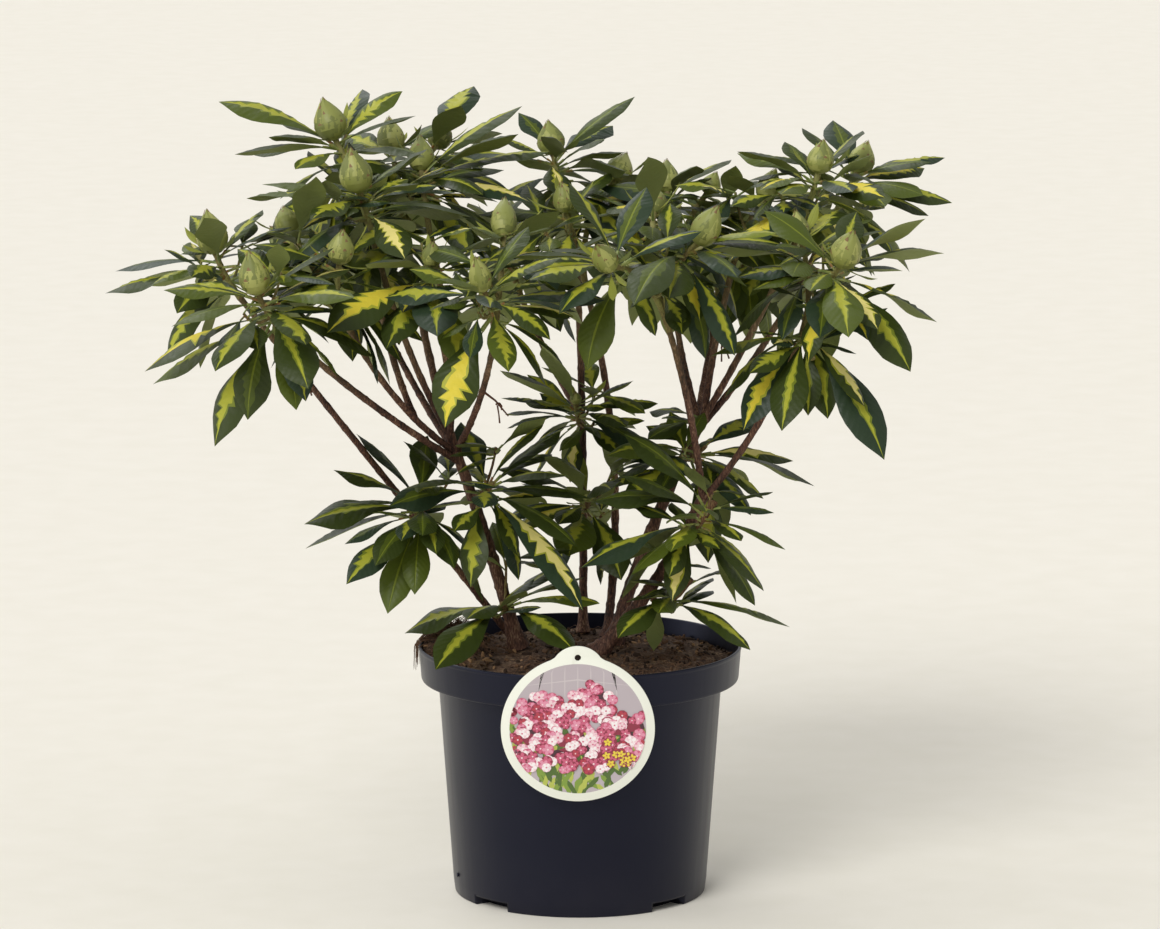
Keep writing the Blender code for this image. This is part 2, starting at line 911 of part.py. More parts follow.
def make_stem(name, arcs, stubs):
    """A stem, with the first length of each of its boughs fused on."""
    sides = TRUNK_SIDES if name.startswith("trunk") else LIMB_SIDES
    pieces = [rod(name, stem_samples(arcs[name]), sides)]
    own = [bough for bough in BOUGHS if stem_under(bough) == name]
    for bough in own:
        pieces.append(rod(bough, part_of(arcs[bough], 0, stubs[bough], STUB_STEPS)))
    if any(BOUGHS[bough]["at"] > 0.9 for bough in own):
        knuckle = bmesh.new()
        place = Matrix.Translation(arcs[name].end)
        radius = arcs[name].radius(1) * FORK_SWELL
        bmesh.ops.create_icosphere(knuckle, subdivisions=1, radius=radius, matrix=place)
        pieces.append(object_of("knuckle", knuckle))
    return fused(name, pieces)


def make_bough(name, arcs, stubs):
    """A bough, from just past its stub to its end."""
    arc = arcs[name]
    return rod(name, part_of(arc, stubs[name] + CLEAR / arc.length, 1, BOUGH_STEPS))


def twigs_of(mass, arcs):
    """A mass's twigs: straight on from its limb's end, or out of the limb's side."""
    limb = arcs[mass["on"]]
    place = mass.get("at", 1.0)
    away = limb.heading(place)
    start = limb.end + away * CLEAR
    if "at" in mass:
        away = Vector(mass["shoots"][0]["tip"]) - limb.at(place)
        away = (away - limb.heading(place) * away.dot(limb.heading(place))).normalized()
        start = limb.at(place) + away * (limb.radius(place) + 2 * CLEAR)
    twigs = []
    for order, spec in enumerate(mass["shoots"]):
        tip = Vector(spec["tip"])
        control = start + away * ((tip - start).length / 2)
        root = start + away * (TWIG_SUNK * order)
        thick, thin = TWIG_RADII
        twigs.append(Arc(root, control, tip, (thick - TWIG_THINNER * order, thin)))
    return twigs


def make_twig(name, twig):
    samples = part_of(twig, 0, 1, TWIG_STEPS)
    last_point, last_radius = samples[-1]
    samples[-1] = (last_point, last_radius * TWIG_COLLAR)
    return rod(name, samples, TWIG_SIDES)


def make_bud(name, twig, length, radius):
    """A plump pointed bud in line with its twig's tip, a little more upright."""
    outline = [(0, 0)]
    outline += [(width * radius, rise * length) for rise, width in BUD_OUTLINE]
    outline.append((0, length))
    bud = turned(name, outline, BUD_SIDES)
    axis = (twig.heading(1) * (1 - BUD_UPRIGHT) + UP * BUD_UPRIGHT).normalized()
    place = Matrix.Translation((twig.end - axis * BUD_SUNK) * MM)
    bud.data.transform(place @ axis.to_track_quat("Z", "Y").to_matrix().to_4x4())
    return bud


# Leaves


def leaf_section(width, depth, spare):
    """A leaf's cross-section as (sideways, up): flat above and keeled below, or fatter by spare."""
    if not spare:
        return [(-width / 2, 0), (width / 2, 0), (0, -depth)]
    edge = width / 2 + spare
    return [(-edge, spare), (edge, spare), (edge, -spare), (0, -depth - spare), (-edge, -spare)]


def leaf_mesh(leaf, spare=0.0):
    """A pointed blade along an arched midrib: its points, its stalk's faces and the others."""
    root, tip = leaf["root"], leaf["tip"]
    length = (tip - root).length
    chord = (tip - root) / length
    side = chord.cross(UP)
    if side.length < STEEP:
        side = leaf["outward"].cross(UP)
    side = (side - chord * side.dot(chord)).normalized()
    lift = side.cross(chord)
    control = (root + tip) / 2 + lift * (2 * leaf["arch"] * length)
    midrib = Arc(root, control, tip + chord * spare, (0, 0))
    points, faces = [], []
    for share, width, depth in LEAF_STATIONS:
        above = side.cross(midrib.heading(share)).normalized()
        level = side * math.cos(leaf["roll"]) + above * math.sin(leaf["roll"])
        above = above * math.cos(leaf["roll"]) - side * math.sin(leaf["roll"])
        section = leaf_section(width * leaf["width"], depth * LEAF_KEEL * length, spare)
        points += [midrib.at(share) + level * across + above * up for across, up in section]
    points.append(midrib.end)
    ring = len(section)
    last = len(points) - 1 - ring
    for a in range(0, last, ring):
        for i in range(ring):
            j = (i + 1) % ring
            faces += [(a + i, a + j, a + j + ring), (a + i, a + j + ring, a + i + ring)]
    faces += [(last + i, last + (i + 1) % ring, last + ring) for i in range(ring)]
    stalk = faces[: 2 * ring] + [tuple(reversed(range(ring)))]
    return points, stalk, faces[2 * ring :]


def leaf_between(twig, back, tip, dice, arch):
    """A leaf from the twig's axis, back millimetres under its tip, to a far tip."""
    root = twig.at(max(LOWEST_ROOT, 1 - back / twig.length))
    reach = tip - root
    outward = Vector((reach.x, reach.y, 0))
    return dict(
        root=root,
        tip=tip,
        outward=outward.normalized() if outward.length > 1 else Vector((0, -1, 0)),
        width=min(reach.length, LEAF_WIDEST) * LEAF_WIDTH * dice.uniform(*WIDTH_SPREAD),
        arch=arch,
        roll=math.radians(dice.uniform(-LEAF_ROLL, LEAF_ROLL)),
    )


def reaching_leaf(name, number, attempt, spec, twig):
    """A leaf to one of the shoot's far tips. Each later attempt moves the tip a little further."""
    dice = random.Random(f"{name} far {number} {attempt}")
    stray = FAR_STRAY * attempt
    tip = Vector(spec["reaching"][number])
    tip += Vector([dice.uniform(-stray, stray) for _ in range(3)])
    back = dice.uniform(*FAR_BACK) + FAR_DROP * max(0.0, twig.end.z - tip.z)
    return leaf_between(twig, back, tip, dice, dice.uniform(*FAR_ARCH))


def whorled_leaf(name, number, attempt, spec, twig):
    """One of the whorl under the bud: young ones high and rising, old ones low and drooping."""
    dice = random.Random(f"{name} whorl {number} {attempt}")
    age = number / max(1, spec["leaves"] - 1)
    turn = number * GOLDEN_ANGLE + dice.uniform(-WHORL_TURN, WHORL_TURN)
    turn += attempt * dice.choice((-RETRY_TURN, RETRY_TURN))
    rise = WHORL_RISE - WHORL_FALL * age + dice.uniform(-RISE_SPREAD, RISE_SPREAD)
    rise = math.radians(rise - RETRY_FALL * attempt)
    length = LEAF_LENGTH * spec["lengths"] * (0.76 + 0.32 * math.sin(math.pi * (0.1 + 0.75 * age)))
    length *= dice.uniform(0.88, 1.08) * (1 - RETRY_SHORTER * attempt)
    axis = (twig.heading(1) * (1 - WHORL_UPRIGHT) + UP * WHORL_UPRIGHT).normalized()
    side, other = square_to(axis)
    level = side * math.cos(turn) + other * math.sin(turn)
    back = WHORL_BACK + WHORL_DEPTH * age * min(1.0, twig.length / SHORT_TWIG)
    start = twig.at(max(LOWEST_ROOT, 1 - back / twig.length))
    tip = start + (level * math.cos(rise) + axis * math.sin(rise)) * length
    return leaf_between(twig, back, tip, dice, 0.05 + 0.06 * age)


class Room:
    """What already stands in the plant's space: each piece's box, surface and owner."""

    def __init__(self):
        self.pieces = []

    def add(self, points, faces, owner, stalk=False):
        """stalk marks a leaf's root end, which may run into another of its own mass."""
        low = [min(point[i] for point in points) for i in range(3)]
        high = [max(point[i] for point in points) for i in range(3)]
        self.pieces.append((low, high, BVHTree.FromPolygons(points, faces), owner, stalk))

    def is_taken(self, mesh, owner):
        points, *halves = mesh
        stalk, blade = (BVHTree.FromPolygons(points, faces) for faces in halves)
        low = [min(point[i] for point in points) for i in range(3)]
        high = [max(point[i] for point in points) for i in range(3)]
        for other_low, other_high, surface, other_owner, other_stalk in self.pieces:
            if any(low[i] > other_high[i] or high[i] < other_low[i] for i in range(3)):
                continue
            if blade.overlap(surface):
                return True
            own_root = other_owner == owner and other_stalk
            if not own_root and stalk.overlap(surface):
                return True
        return False


def grow_leaves(room, masses, twigs):
    """Each mass's leaves, first those to the far tips, skipping a leaf that finds no room."""
    grown = {name: [] for name in masses}
    for rule in (reaching_leaf, whorled_leaf):
        for name, mass in masses.items():
            for order, (spec, twig) in enumerate(zip(mass["shoots"], twigs[name])):
                count = len(spec["reaching"]) if rule is reaching_leaf else spec["leaves"]
                for number in range(count):
                    for attempt in range(LEAF_TRIES):
                        leaf = rule(f"{name} {order}", number, attempt, spec, twig)
                        if room.is_taken(leaf_mesh(leaf, TEST_MARGIN), name):
                            continue
                        points, stalk, blade = leaf_mesh(leaf)
                        room.add(points, stalk, name, stalk=True)
                        room.add(points, blade, name)
                        grown[name].append((points, stalk + blade))
                        break
    return grown


def make_leaf(name, points, faces):
    shape = bmesh.new()
    corners = [shape.verts.new(point) for point in points]
    for face in faces:
        shape.faces.new([corners[i] for i in face])
    return object_of(name, shape)


# The whole


def main():
    for old in list(bpy.data.objects):
        bpy.data.objects.remove(old)
    plastic = material("black_plastic", (0.022, 0.022, 0.026), 0.45)
    peat = material("moist_peat", (0.045, 0.027, 0.017), 0.95)
    printed_card = material("printed_card", (0.78, 0.72, 0.72), 0.45)
    bark = material("brown_bark", (0.145, 0.062, 0.042), 0.75)
    leaf_green = material("leaf_green", (0.105, 0.17, 0.045), 0.45)

    room = Room()
    planter = (
        finished(make_pot(), plastic),
        finished(make_soil(), peat, 60),
        finished(make_card(), printed_card),
    )
    arcs = limb_arcs()
    stubs = {name: stub_share(name, arcs) for name in BOUGHS}
    stems = [finished(make_stem(name, arcs, stubs), bark, 60) for name in STEMS]
    boughs = [finished(make_bough(name, arcs, stubs), bark, 60) for name in BOUGHS]
    for made in (*planter, *stems, *boughs):
        room.add(*in_millimetres(made), made.name)

    masses = {**CROWN, **SIDE_SHOOTS}
    twigs = {name: twigs_of(mass, arcs) for name, mass in masses.items()}
    pieces = {}
    for name, mass in masses.items():
        pieces[name] = [make_twig(name, twig) for twig in twigs[name]]
        for piece in pieces[name]:
            room.add(*in_millimetres(piece), name, stalk=True)
        for spec, twig in zip(mass["shoots"], twigs[name]):
            if spec["bud"]:
                bud = make_bud(name, twig, *spec["bud"])
                room.add(*in_millimetres(bud), name, stalk=True)
                pieces[name].append(bud)
    leaves = grow_leaves(room, masses, twigs)
    for name in masses:
        pieces[name] += [make_leaf(name, *leaf) for leaf in leaves[name]]
        finished(fused(name, pieces[name]), leaf_green, 60)
        print(f"{name}: {len(leaves[name])} leaves")


if __name__ == "__main__":
    main()
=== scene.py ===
# %% [markdown]
# # Dressing a potted evergreen shrub
#
# This lesson dresses plain solids until they look like the real plant. The solids come first. They
# give the pot, the soil, each stem and each mass of leaves its true place and size. Nothing here may
# move them. What we do is hide one solid after another and stand something finer in its place.
#
# All our own shapes are worked out in millimetres, because that is how one measures a plant, and they
# are scaled to metres as they become objects.

# %% Load the solids
import json
import math
import random

import bmesh
import bpy
import numpy as np
from mathutils import Matrix, Vector, noise
from mathutils.bvhtree import BVHTree
from mathutils.kdtree import KDTree

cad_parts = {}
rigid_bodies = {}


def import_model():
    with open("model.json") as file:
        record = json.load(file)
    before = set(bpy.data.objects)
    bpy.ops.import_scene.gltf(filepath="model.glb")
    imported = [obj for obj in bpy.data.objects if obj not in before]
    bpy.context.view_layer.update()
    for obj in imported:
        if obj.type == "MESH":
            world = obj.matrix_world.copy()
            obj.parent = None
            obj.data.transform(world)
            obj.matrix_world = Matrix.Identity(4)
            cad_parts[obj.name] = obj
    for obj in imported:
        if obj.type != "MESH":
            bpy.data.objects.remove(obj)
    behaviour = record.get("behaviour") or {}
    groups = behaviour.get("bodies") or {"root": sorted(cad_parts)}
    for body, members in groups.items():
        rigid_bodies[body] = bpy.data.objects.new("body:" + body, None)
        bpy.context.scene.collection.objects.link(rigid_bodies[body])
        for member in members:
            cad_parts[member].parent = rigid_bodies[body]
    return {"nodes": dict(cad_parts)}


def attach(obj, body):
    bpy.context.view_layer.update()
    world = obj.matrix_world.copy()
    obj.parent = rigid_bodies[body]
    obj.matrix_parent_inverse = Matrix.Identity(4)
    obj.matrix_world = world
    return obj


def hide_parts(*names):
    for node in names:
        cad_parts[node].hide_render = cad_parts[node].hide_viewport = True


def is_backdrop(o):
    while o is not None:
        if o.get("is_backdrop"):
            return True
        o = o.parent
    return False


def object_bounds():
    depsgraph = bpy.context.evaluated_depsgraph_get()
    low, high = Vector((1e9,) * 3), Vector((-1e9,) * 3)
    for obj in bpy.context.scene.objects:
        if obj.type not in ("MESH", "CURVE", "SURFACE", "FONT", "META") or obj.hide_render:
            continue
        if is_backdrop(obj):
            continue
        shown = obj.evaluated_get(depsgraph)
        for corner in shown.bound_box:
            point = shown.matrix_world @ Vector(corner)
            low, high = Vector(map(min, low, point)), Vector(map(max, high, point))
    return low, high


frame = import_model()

cad_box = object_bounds()
MM = 0.001
CLEAR = 0.3  # open space between two neighbouring solids
UP = Vector((0, 0, 1))
print(f"{len(frame['nodes'])} solids, {(cad_box[1][2] - cad_box[0][2]) / MM:.0f} mm high")

# %% [markdown]
# ## Colours
#
# A colour picked from a picture is an sRGB value, but a shader wants linear light. A renderer could be
# left to guess, or each colour could be typed twice. We write the hex value that a colour picker
# shows, and turn it in one function.

# %% Turn a hex colour into linear light


def linear(hex_colour):
    """A colour such as "#33aa20" as linear red, green and blue, with an alpha of 1."""
    parts = [int(hex_colour[i : i + 2], 16) / 255 for i in (1, 3, 5)]
    return (*((c / 12.92 if c <= 0.04045 else ((c + 0.055) / 1.055) ** 2.4) for c in parts), 1)


print("mid grey is", round(linear("#808080")[0], 3), "in linear light")

# %% [markdown]
# ## Nodes
#
# Every finish below is a small net of nodes. Adding a node takes three steps: make it, set its menus,
# and fill or join its inputs. One helper does all three, so that each material reads as a list of
# what it is made of.

# %% Add a node


def add_node(tree, kind, inputs=None, out=0, stops=None, **settings):
    """Adds a node and returns one of its outputs. An input, by name or number, is given as a value or
    as the output that feeds it. stops are a colour ramp's (place, hex colour) pairs."""
    made = tree.nodes.new(kind)
    for name, value in settings.items():
        setattr(made, name, value)
    for name, value in (inputs or {}).items():
        if isinstance(value, bpy.types.NodeSocket):
            tree.links.new(value, made.inputs[name])
        else:
            made.inputs[name].default_value = value
    for number, (place, colour) in enumerate(stops or []):
        if number >= len(made.color_ramp.elements):
            made.color_ramp.elements.new(place)
        made.color_ramp.elements[number].position = place
        made.color_ramp.elements[number].color = linear(colour)
    return made.outputs[out]


def start_material(name, colour, roughness, **shader_inputs):
    """A material with a Principled shader. Returns it, its tree and its shader."""
    made = bpy.data.materials.new(name)
    made.use_nodes = True
    shader = made.node_tree.nodes["Principled BSDF"]
    shader.inputs["Base Color"].default_value = linear(colour)
    shader.inputs["Roughness"].default_value = roughness
    for socket, value in shader_inputs.items():
        shader.inputs[socket.replace("_", " ")].default_value = value
    return made, made.node_tree, shader


def per_mm(size_mm):
    """The scale of a pattern whose marks measure size_mm, on a place in metres."""
    return 1 / (size_mm * MM)


print("node helpers ready")

# %% [markdown]
# ## Meshes
#
# A bmesh is Blender's mesh workbench. Shapes are made there in millimetres by operators such as spin,
# extrude and bevel, and then become an object. The object stays at the origin, unturned and unscaled,
# so that a pattern on Object coordinates lies where it should.

# %% Turn a bmesh into an object


def object_from(name, shape, finishes, smooth_degrees=40):
    """An object from a bmesh in millimetres. Its faces turn outward and its curves are shaded smooth."""
    bmesh.ops.recalc_face_normals(shape, faces=shape.faces)
    bmesh.ops.scale(shape, vec=(MM, MM, MM), verts=shape.verts)
    data = bpy.data.meshes.new(name)
    shape.to_mesh(data)
    shape.free()
    return finished(name, data, finishes, smooth_degrees)


def finished(name, data, finishes, smooth_degrees=40):
    """An object round a mesh in metres, with its materials."""
    for finish in finishes:
        data.materials.append(finish)
    data.shade_smooth()
    data.set_sharp_from_angle(angle=math.radians(smooth_degrees))
    made = bpy.data.objects.new(name, data)
    bpy.context.scene.collection.objects.link(made)
    return made


def spun(outline, sides, angle=math.tau, start=0.0):
    """A bmesh turned about z from (radius, height) corners, closed if it makes a full turn."""
    shape = bmesh.new()
    corners = [
        shape.verts.new((radius * math.cos(start), radius * math.sin(start), height))
        for radius, height in outline
    ]
    whole_turn = angle == math.tau
    if whole_turn:
        geometry = [shape.edges.new(pair) for pair in zip(corners, corners[1:])]
    else:
        geometry = [shape.faces.new(corners)]
    bmesh.ops.spin(
        shape,
        geom=corners + geometry,
        cent=(0, 0, 0),
        axis=UP,
        angle=angle,
        steps=sides,
        use_merge=whole_turn,
    )
    bmesh.ops.remove_doubles(shape, verts=shape.verts, dist=0.001)
    bmesh.ops.recalc_face_normals(shape, faces=shape.faces)
    return shape


def combined(target, tool, operation):
    """Joins a tool to target, or cuts target with it, by a Boolean that is then applied."""
    boolean = target.modifiers.new(operation.lower(), "BOOLEAN")
    boolean.operation = operation
    boolean.object = tool
    boolean.solver = "EXACT"
    bpy.context.view_layer.update()
    graph = bpy.context.evaluated_depsgraph_get()
    whole = bpy.data.meshes.new_from_object(target.evaluated_get(graph))
    target.modifiers.clear()
    target.data = whole
    bpy.data.objects.remove(tool)
    return target


def triangles(made):
    made.data.calc_loop_triangles()
    return len(made.data.loop_triangles)


print("mesh helpers ready")

# %% [markdown]
# ## Camera
#
# The picture was taken from a few metres off with a long lens, a little above the crown. The rim of
# the pot shows as a flat oval, and how flat it is gives the camera's height. A long lens keeps the
# near and far leaves almost the same size.

# %% Set up the camera
CAMERA_DISTANCE = 4.0
CAMERA_HEIGHT = 0.99908
CAMERA_PITCH = math.radians(9.806)  # below level
LENS = 177.8

camera_data = bpy.data.cameras.new("camera")
camera_data.lens = LENS
camera_data.sensor_width = 36
camera_data.sensor_fit = "HORIZONTAL"
camera_data.clip_end = 100
camera = bpy.data.objects.new("camera", camera_data)
camera.location = (0, -CAMERA_DISTANCE, CAMERA_HEIGHT)
camera.rotation_euler = (math.radians(90) - CAMERA_PITCH, 0, 0)
bpy.context.scene.collection.objects.link(camera)
bpy.context.scene.camera = camera
bpy.context.scene.view_settings.view_transform = "Standard"
print(f"camera {CAMERA_DISTANCE} m away, {LENS} mm lens")

# %% [markdown]
# ## Floor and light
#
# The plant stands on a wide pale sheet in a bright room. A sheet that ends behind the plant would
# show a line, so it runs far past the view. Lamps that hang near would light the sheet in a pool.
# Three wide, soft suns light it evenly instead: one from the left and front for shape, one low on the
# left for the sheen on the pot, and one behind on the left to edge the leaves. The room's own light fills in.

# %% Lay the floor
FLOOR_SIZE = 60.0
floor_paper, paper_tree, paper_shader = start_material("matt_background_paper", "#f0ecdf", 0.9)
paper_place = add_node(paper_tree, "ShaderNodeTexCoord", out="Object")
paper_fibre = add_node(
    paper_tree, "ShaderNodeTexNoise", {"Vector": paper_place, "Scale": per_mm(40), "Detail": 4}
)
paper_colour = add_node(
    paper_tree, "ShaderNodeValToRGB", {0: paper_fibre}, stops=[(0.3, "#efeadd"), (0.7, "#f2ede1")]
)
paper_tree.links.new(paper_colour, paper_shader.inputs["Base Color"])
floor_shape = bmesh.new()
bmesh.ops.create_grid(floor_shape, x_segments=1, y_segments=1, size=FLOOR_SIZE / 2 / MM)
floor = object_from("floor", floor_shape, [floor_paper])
floor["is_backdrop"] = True
print(f"floor {FLOOR_SIZE:.0f} m wide")

# %% [markdown]
# A sun lamp lights every point from the same side, however far off it is, so the sheet stays even.
# Its width in degrees sets how soft the shadows are.

# %% Place the suns
ROOM_LIGHT = 0.5
SUNS = {
    # name: (from where, how strong, how wide in degrees)
    "key_sun": ((-1.1, -2.2, 2.0), 1.7, 30),
    "side_sun": ((-2.6, -0.1, 0.9), 0.5, 35),
    "back_sun": ((-0.9, 2.0, 1.9), 0.65, 40),
}


def place_sun(name, place, strength, width):
    lamp = bpy.data.lights.new(name, "SUN")
    lamp.energy = strength
    lamp.angle = math.radians(width)
    made = bpy.data.objects.new(name, lamp)
    made.location = place
    made.rotation_euler = (-Vector(place)).to_track_quat("-Z", "Y").to_euler()
    bpy.context.scene.collection.objects.link(made)


for sun_name, sun_values in SUNS.items():
    place_sun(sun_name, *sun_values)
world = bpy.data.worlds.new("room")
world.use_nodes = True
room = world.node_tree.nodes["Background"]
room.inputs["Color"].default_value = linear("#ffffff")
room.inputs["Strength"].default_value = ROOM_LIGHT
bpy.context.scene.world = world
print(f"{len(SUNS)} suns")

# %% [markdown]
# ## The nursery pot
#
# The pot is black polypropylene, moulded in one shot. The solid has flat sides to keep it light, and
# here it becomes truly round. It could be a cylinder pushed into shape, but a turned outline is how
# the mould itself was cut, so we draw half its section and spin it. Four low notches let water out.

# %% Turn the pot
POT_HEIGHT = 178.0
RIM_RADIUS = 115.0
BASE_RADIUS = 90.0
SHOULDER_RADIUS = 101.0  # of the body just under the band
BAND_HEIGHT = 24.0
BAND_FOOT_RADIUS = 112.6
WALL = 2.0
FLOOR = 2.4
POT_SIDES = 160
NOTCH_HEIGHT = 6.4
NOTCH_DEPTH = 12.0
NOTCH_ANGLE = math.radians(20.6)
FIRST_NOTCH = math.radians(45)
BAND_FOOT = POT_HEIGHT - BAND_HEIGHT


def rounded(outline, radius, steps=4):
    """The same outline with each inner corner turned into a small arc."""
    made = [outline[0]]
    for before, corner, after in zip(outline, outline[1:], outline[2:]):
        here = Vector(corner)
        ways = [Vector(other) - here for other in (before, after)]
        reach = min(radius, ways[0].length / 2.2, ways[1].length / 2.2)
        start, end = (here + way.normalized() * reach for way in ways)
        for i in range(steps + 1):
            share = i / steps
            bent = start * (1 - share) ** 2 + here * (2 * share * (1 - share)) + end * share**2
            made.append(tuple(bent))
    return made + [outline[-1]]


def pot_outline():
    return rounded(
        [
            (0, 0),
            (BASE_RADIUS - 0.5, 0),
            (BASE_RADIUS + 0.6, 9),
            (SHOULDER_RADIUS, BAND_FOOT),
            (BAND_FOOT_RADIUS, BAND_FOOT),
            (BAND_FOOT_RADIUS + 0.5, BAND_FOOT + 1.5),
            (RIM_RADIUS - 0.4, POT_HEIGHT - 3),
            (RIM_RADIUS, POT_HEIGHT - 2),
            (RIM_RADIUS, POT_HEIGHT),
            (RIM_RADIUS - WALL, POT_HEIGHT),
            (BAND_FOOT_RADIUS - WALL, BAND_FOOT + WALL),
            (SHOULDER_RADIUS - WALL, BAND_FOOT + WALL),
            (BASE_RADIUS - WALL, FLOOR),
            (0, FLOOR),
        ],
        1.1,
    )


def block(inner, outer, bottom, top, angle, middle, name):
    """Part of a ring, to build or cut a notch with."""
    corners = [(inner, bottom), (outer, bottom), (outer, top), (inner, top)]
    return object_from(name, spun(corners, 8, angle, middle - angle / 2), [])


pot = object_from("nursery_pot", spun(pot_outline(), POT_SIDES), [])
for quarter in range(4):
    middle = FIRST_NOTCH + math.tau * quarter / 4
    inside = BASE_RADIUS - NOTCH_DEPTH
    wide = NOTCH_ANGLE + 2 * WALL / BASE_RADIUS
    pocket = block(
        inside - WALL, BASE_RADIUS - WALL / 2, FLOOR / 2, NOTCH_HEIGHT + WALL, wide, middle, "pocket"
    )
    combined(pot, pocket, "UNION")
    notch = block(inside, RIM_RADIUS, -FLOOR, NOTCH_HEIGHT, NOTCH_ANGLE, middle, "notch")
    combined(pot, notch, "DIFFERENCE")
print(f"pot: {triangles(pot)} triangles")

# %% [markdown]
# The moulded face has a small raised dot low on the left, where the plastic was let in. It is a
# flattened ball, half sunk in the wall.

# %% Add the moulding dot
DOT_RADIUS = 1.7
DOT_HEIGHT = 16.0
DOT_ANGLE = math.radians(198)
dot_shape = bmesh.new()
bmesh.ops.create_uvsphere(dot_shape, u_segments=20, v_segments=12, radius=DOT_RADIUS)
bmesh.ops.scale(dot_shape, vec=(0.4, 1, 1), verts=dot_shape.verts)
wall_radius = BASE_RADIUS + 0.6 + (SHOULDER_RADIUS - BASE_RADIUS) * DOT_HEIGHT / BAND_FOOT
turn = Matrix.Rotation(DOT_ANGLE, 4, "Z")
bmesh.ops.translate(dot_shape, vec=(wall_radius, 0, DOT_HEIGHT), verts=dot_shape.verts)
bmesh.ops.transform(dot_shape, matrix=turn, verts=dot_shape.verts)
dot = object_from("moulding_dot", dot_shape, [])
print(f"dot {DOT_RADIUS * 2:.1f} mm across")

# %% [markdown]
# Polypropylene for pots is coloured right through with carbon black and comes out of the mould with
# a satin face. The eye reads three things: a soft, wide sheen, faint upright flow lines where the
# melt ran up the mould, and a little dried peat dust that sits low on the wall and on the rim.

# %% Finish the pot
FLOW_WIDTH = 7  # mm between the mould's flow lines, which run almost straight up
polypropylene, tree, shader = start_material(
    "black_polypropylene_moulded",
    "#0b0c14",
    0.34,
    Specular_IOR_Level=0.36,
    Specular_Tint=linear("#c9d0ff"),
)
place = add_node(tree, "ShaderNodeTexCoord", out="Object")
upright = add_node(tree, "ShaderNodeMapping", {"Vector": place, "Scale": (1, 1, 0.06)})
flow = add_node(tree, "ShaderNodeTexNoise", {"Vector": upright, "Scale": per_mm(FLOW_WIDTH)})
cloud = add_node(tree, "ShaderNodeTexNoise", {"Vector": place, "Scale": per_mm(30), "Detail": 5})
pimples = add_node(tree, "ShaderNodeTexNoise", {"Vector": place, "Scale": per_mm(0.6)})
height_on_pot = add_node(tree, "ShaderNodeSeparateXYZ", {0: place}, out="Z")
low_wall = add_node(
    tree,
    "ShaderNodeMapRange",
    {"Value": height_on_pot, "From Min": 0.0, "From Max": 0.05, "To Min": 0.45, "To Max": 0.08},
)
dust = add_node(tree, "ShaderNodeMath", {0: low_wall, 1: cloud}, operation="MULTIPLY")
dusty = add_node(
    tree,
    "ShaderNodeMix",
    {"Factor": dust, 6: linear("#0b0c15"), 7: linear("#2e2b2c")},
    out=2,
    data_type="RGBA",
)
tree.links.new(dusty, shader.inputs["Base Color"])
sheen = add_node(tree, "ShaderNodeMapRange", {"Value": flow, "To Min": 0.27, "To Max": 0.42})
tree.links.new(sheen, shader.inputs["Roughness"])
relief = add_node(tree, "ShaderNodeMath", {0: pimples, 1: 0.35, 2: flow}, operation="MULTIPLY_ADD")
moulded = add_node(
    tree, "ShaderNodeBump", {"Height": relief, "Distance": 0.12 * MM, "Strength": 0.5}
)
tree.links.new(moulded, shader.inputs["Normal"])
for piece in (pot, dot):
    piece.data.materials.clear()
    piece.data.materials.append(polypropylene)
    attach(piece, "root")
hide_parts("pot")
print("pot finished")

# %% [markdown]
# ## The peat
#
# Potting peat is a dark crumbly mass with pale fibres. It lies level in the middle, sinks a little at
# the wall, and on the left a tangle of old roots has been pushed up against the rim. We spin a fine
# disc, lift its points by a height rule, and let a little noise make it lumpy. A displacement
# modifier could do that too, but then the crumbs we strew later would not know where the ground is.

# %% Shape the soil
SOIL_LEVEL = 174.0
SOIL_FLAT_RADIUS = 64.0
SOIL_EDGE_DROP = 8.0
HEAP_PLACE = (-90.0, 8.0)
HEAP_HEIGHT = 21.0
HEAP_SPREAD = 20.0
SOIL_EDGE = 112.2  # it meets the inside of the band here
LUMPS = 2.2


def ground(x, y):
    """The height of the soil's surface."""
    slope = (math.hypot(x, y) - SOIL_FLAT_RADIUS) / (BAND_FOOT_RADIUS - SOIL_FLAT_RADIUS)
    slope = max(0.0, slope)
    apart = math.hypot(x - HEAP_PLACE[0], y - HEAP_PLACE[1]) / HEAP_SPREAD
    heap = HEAP_HEIGHT * math.exp(-(apart**2) / 2) * min(1.0, 2.5 * slope)
    coarse = noise.noise(Vector((x, y, 0)) / 17)
    small = noise.noise(Vector((x, y, 9)) / 5)
    return SOIL_LEVEL - 0.8 - SOIL_EDGE_DROP * slope**1.5 + heap * 0.9 + LUMPS * (coarse + 0.5 * small)


def soil_outline():
    steps = 44
    top = [(SOIL_EDGE * (1 - i / steps), SOIL_LEVEL) for i in range(steps + 1)]
    return [
        (0, FLOOR + CLEAR),
        (BASE_RADIUS - NOTCH_DEPTH - WALL - 1, FLOOR + CLEAR),
        (BASE_RADIUS - NOTCH_DEPTH - WALL - 1, NOTCH_HEIGHT + WALL + 1),
        (BASE_RADIUS - WALL - 1, NOTCH_HEIGHT + WALL + 1),
        (SHOULDER_RADIUS - WALL - 1, BAND_FOOT + WALL + 0.5),
        (BAND_FOOT_RADIUS - WALL - 0.5, BAND_FOOT + WALL + 0.5),
        *top,
    ]


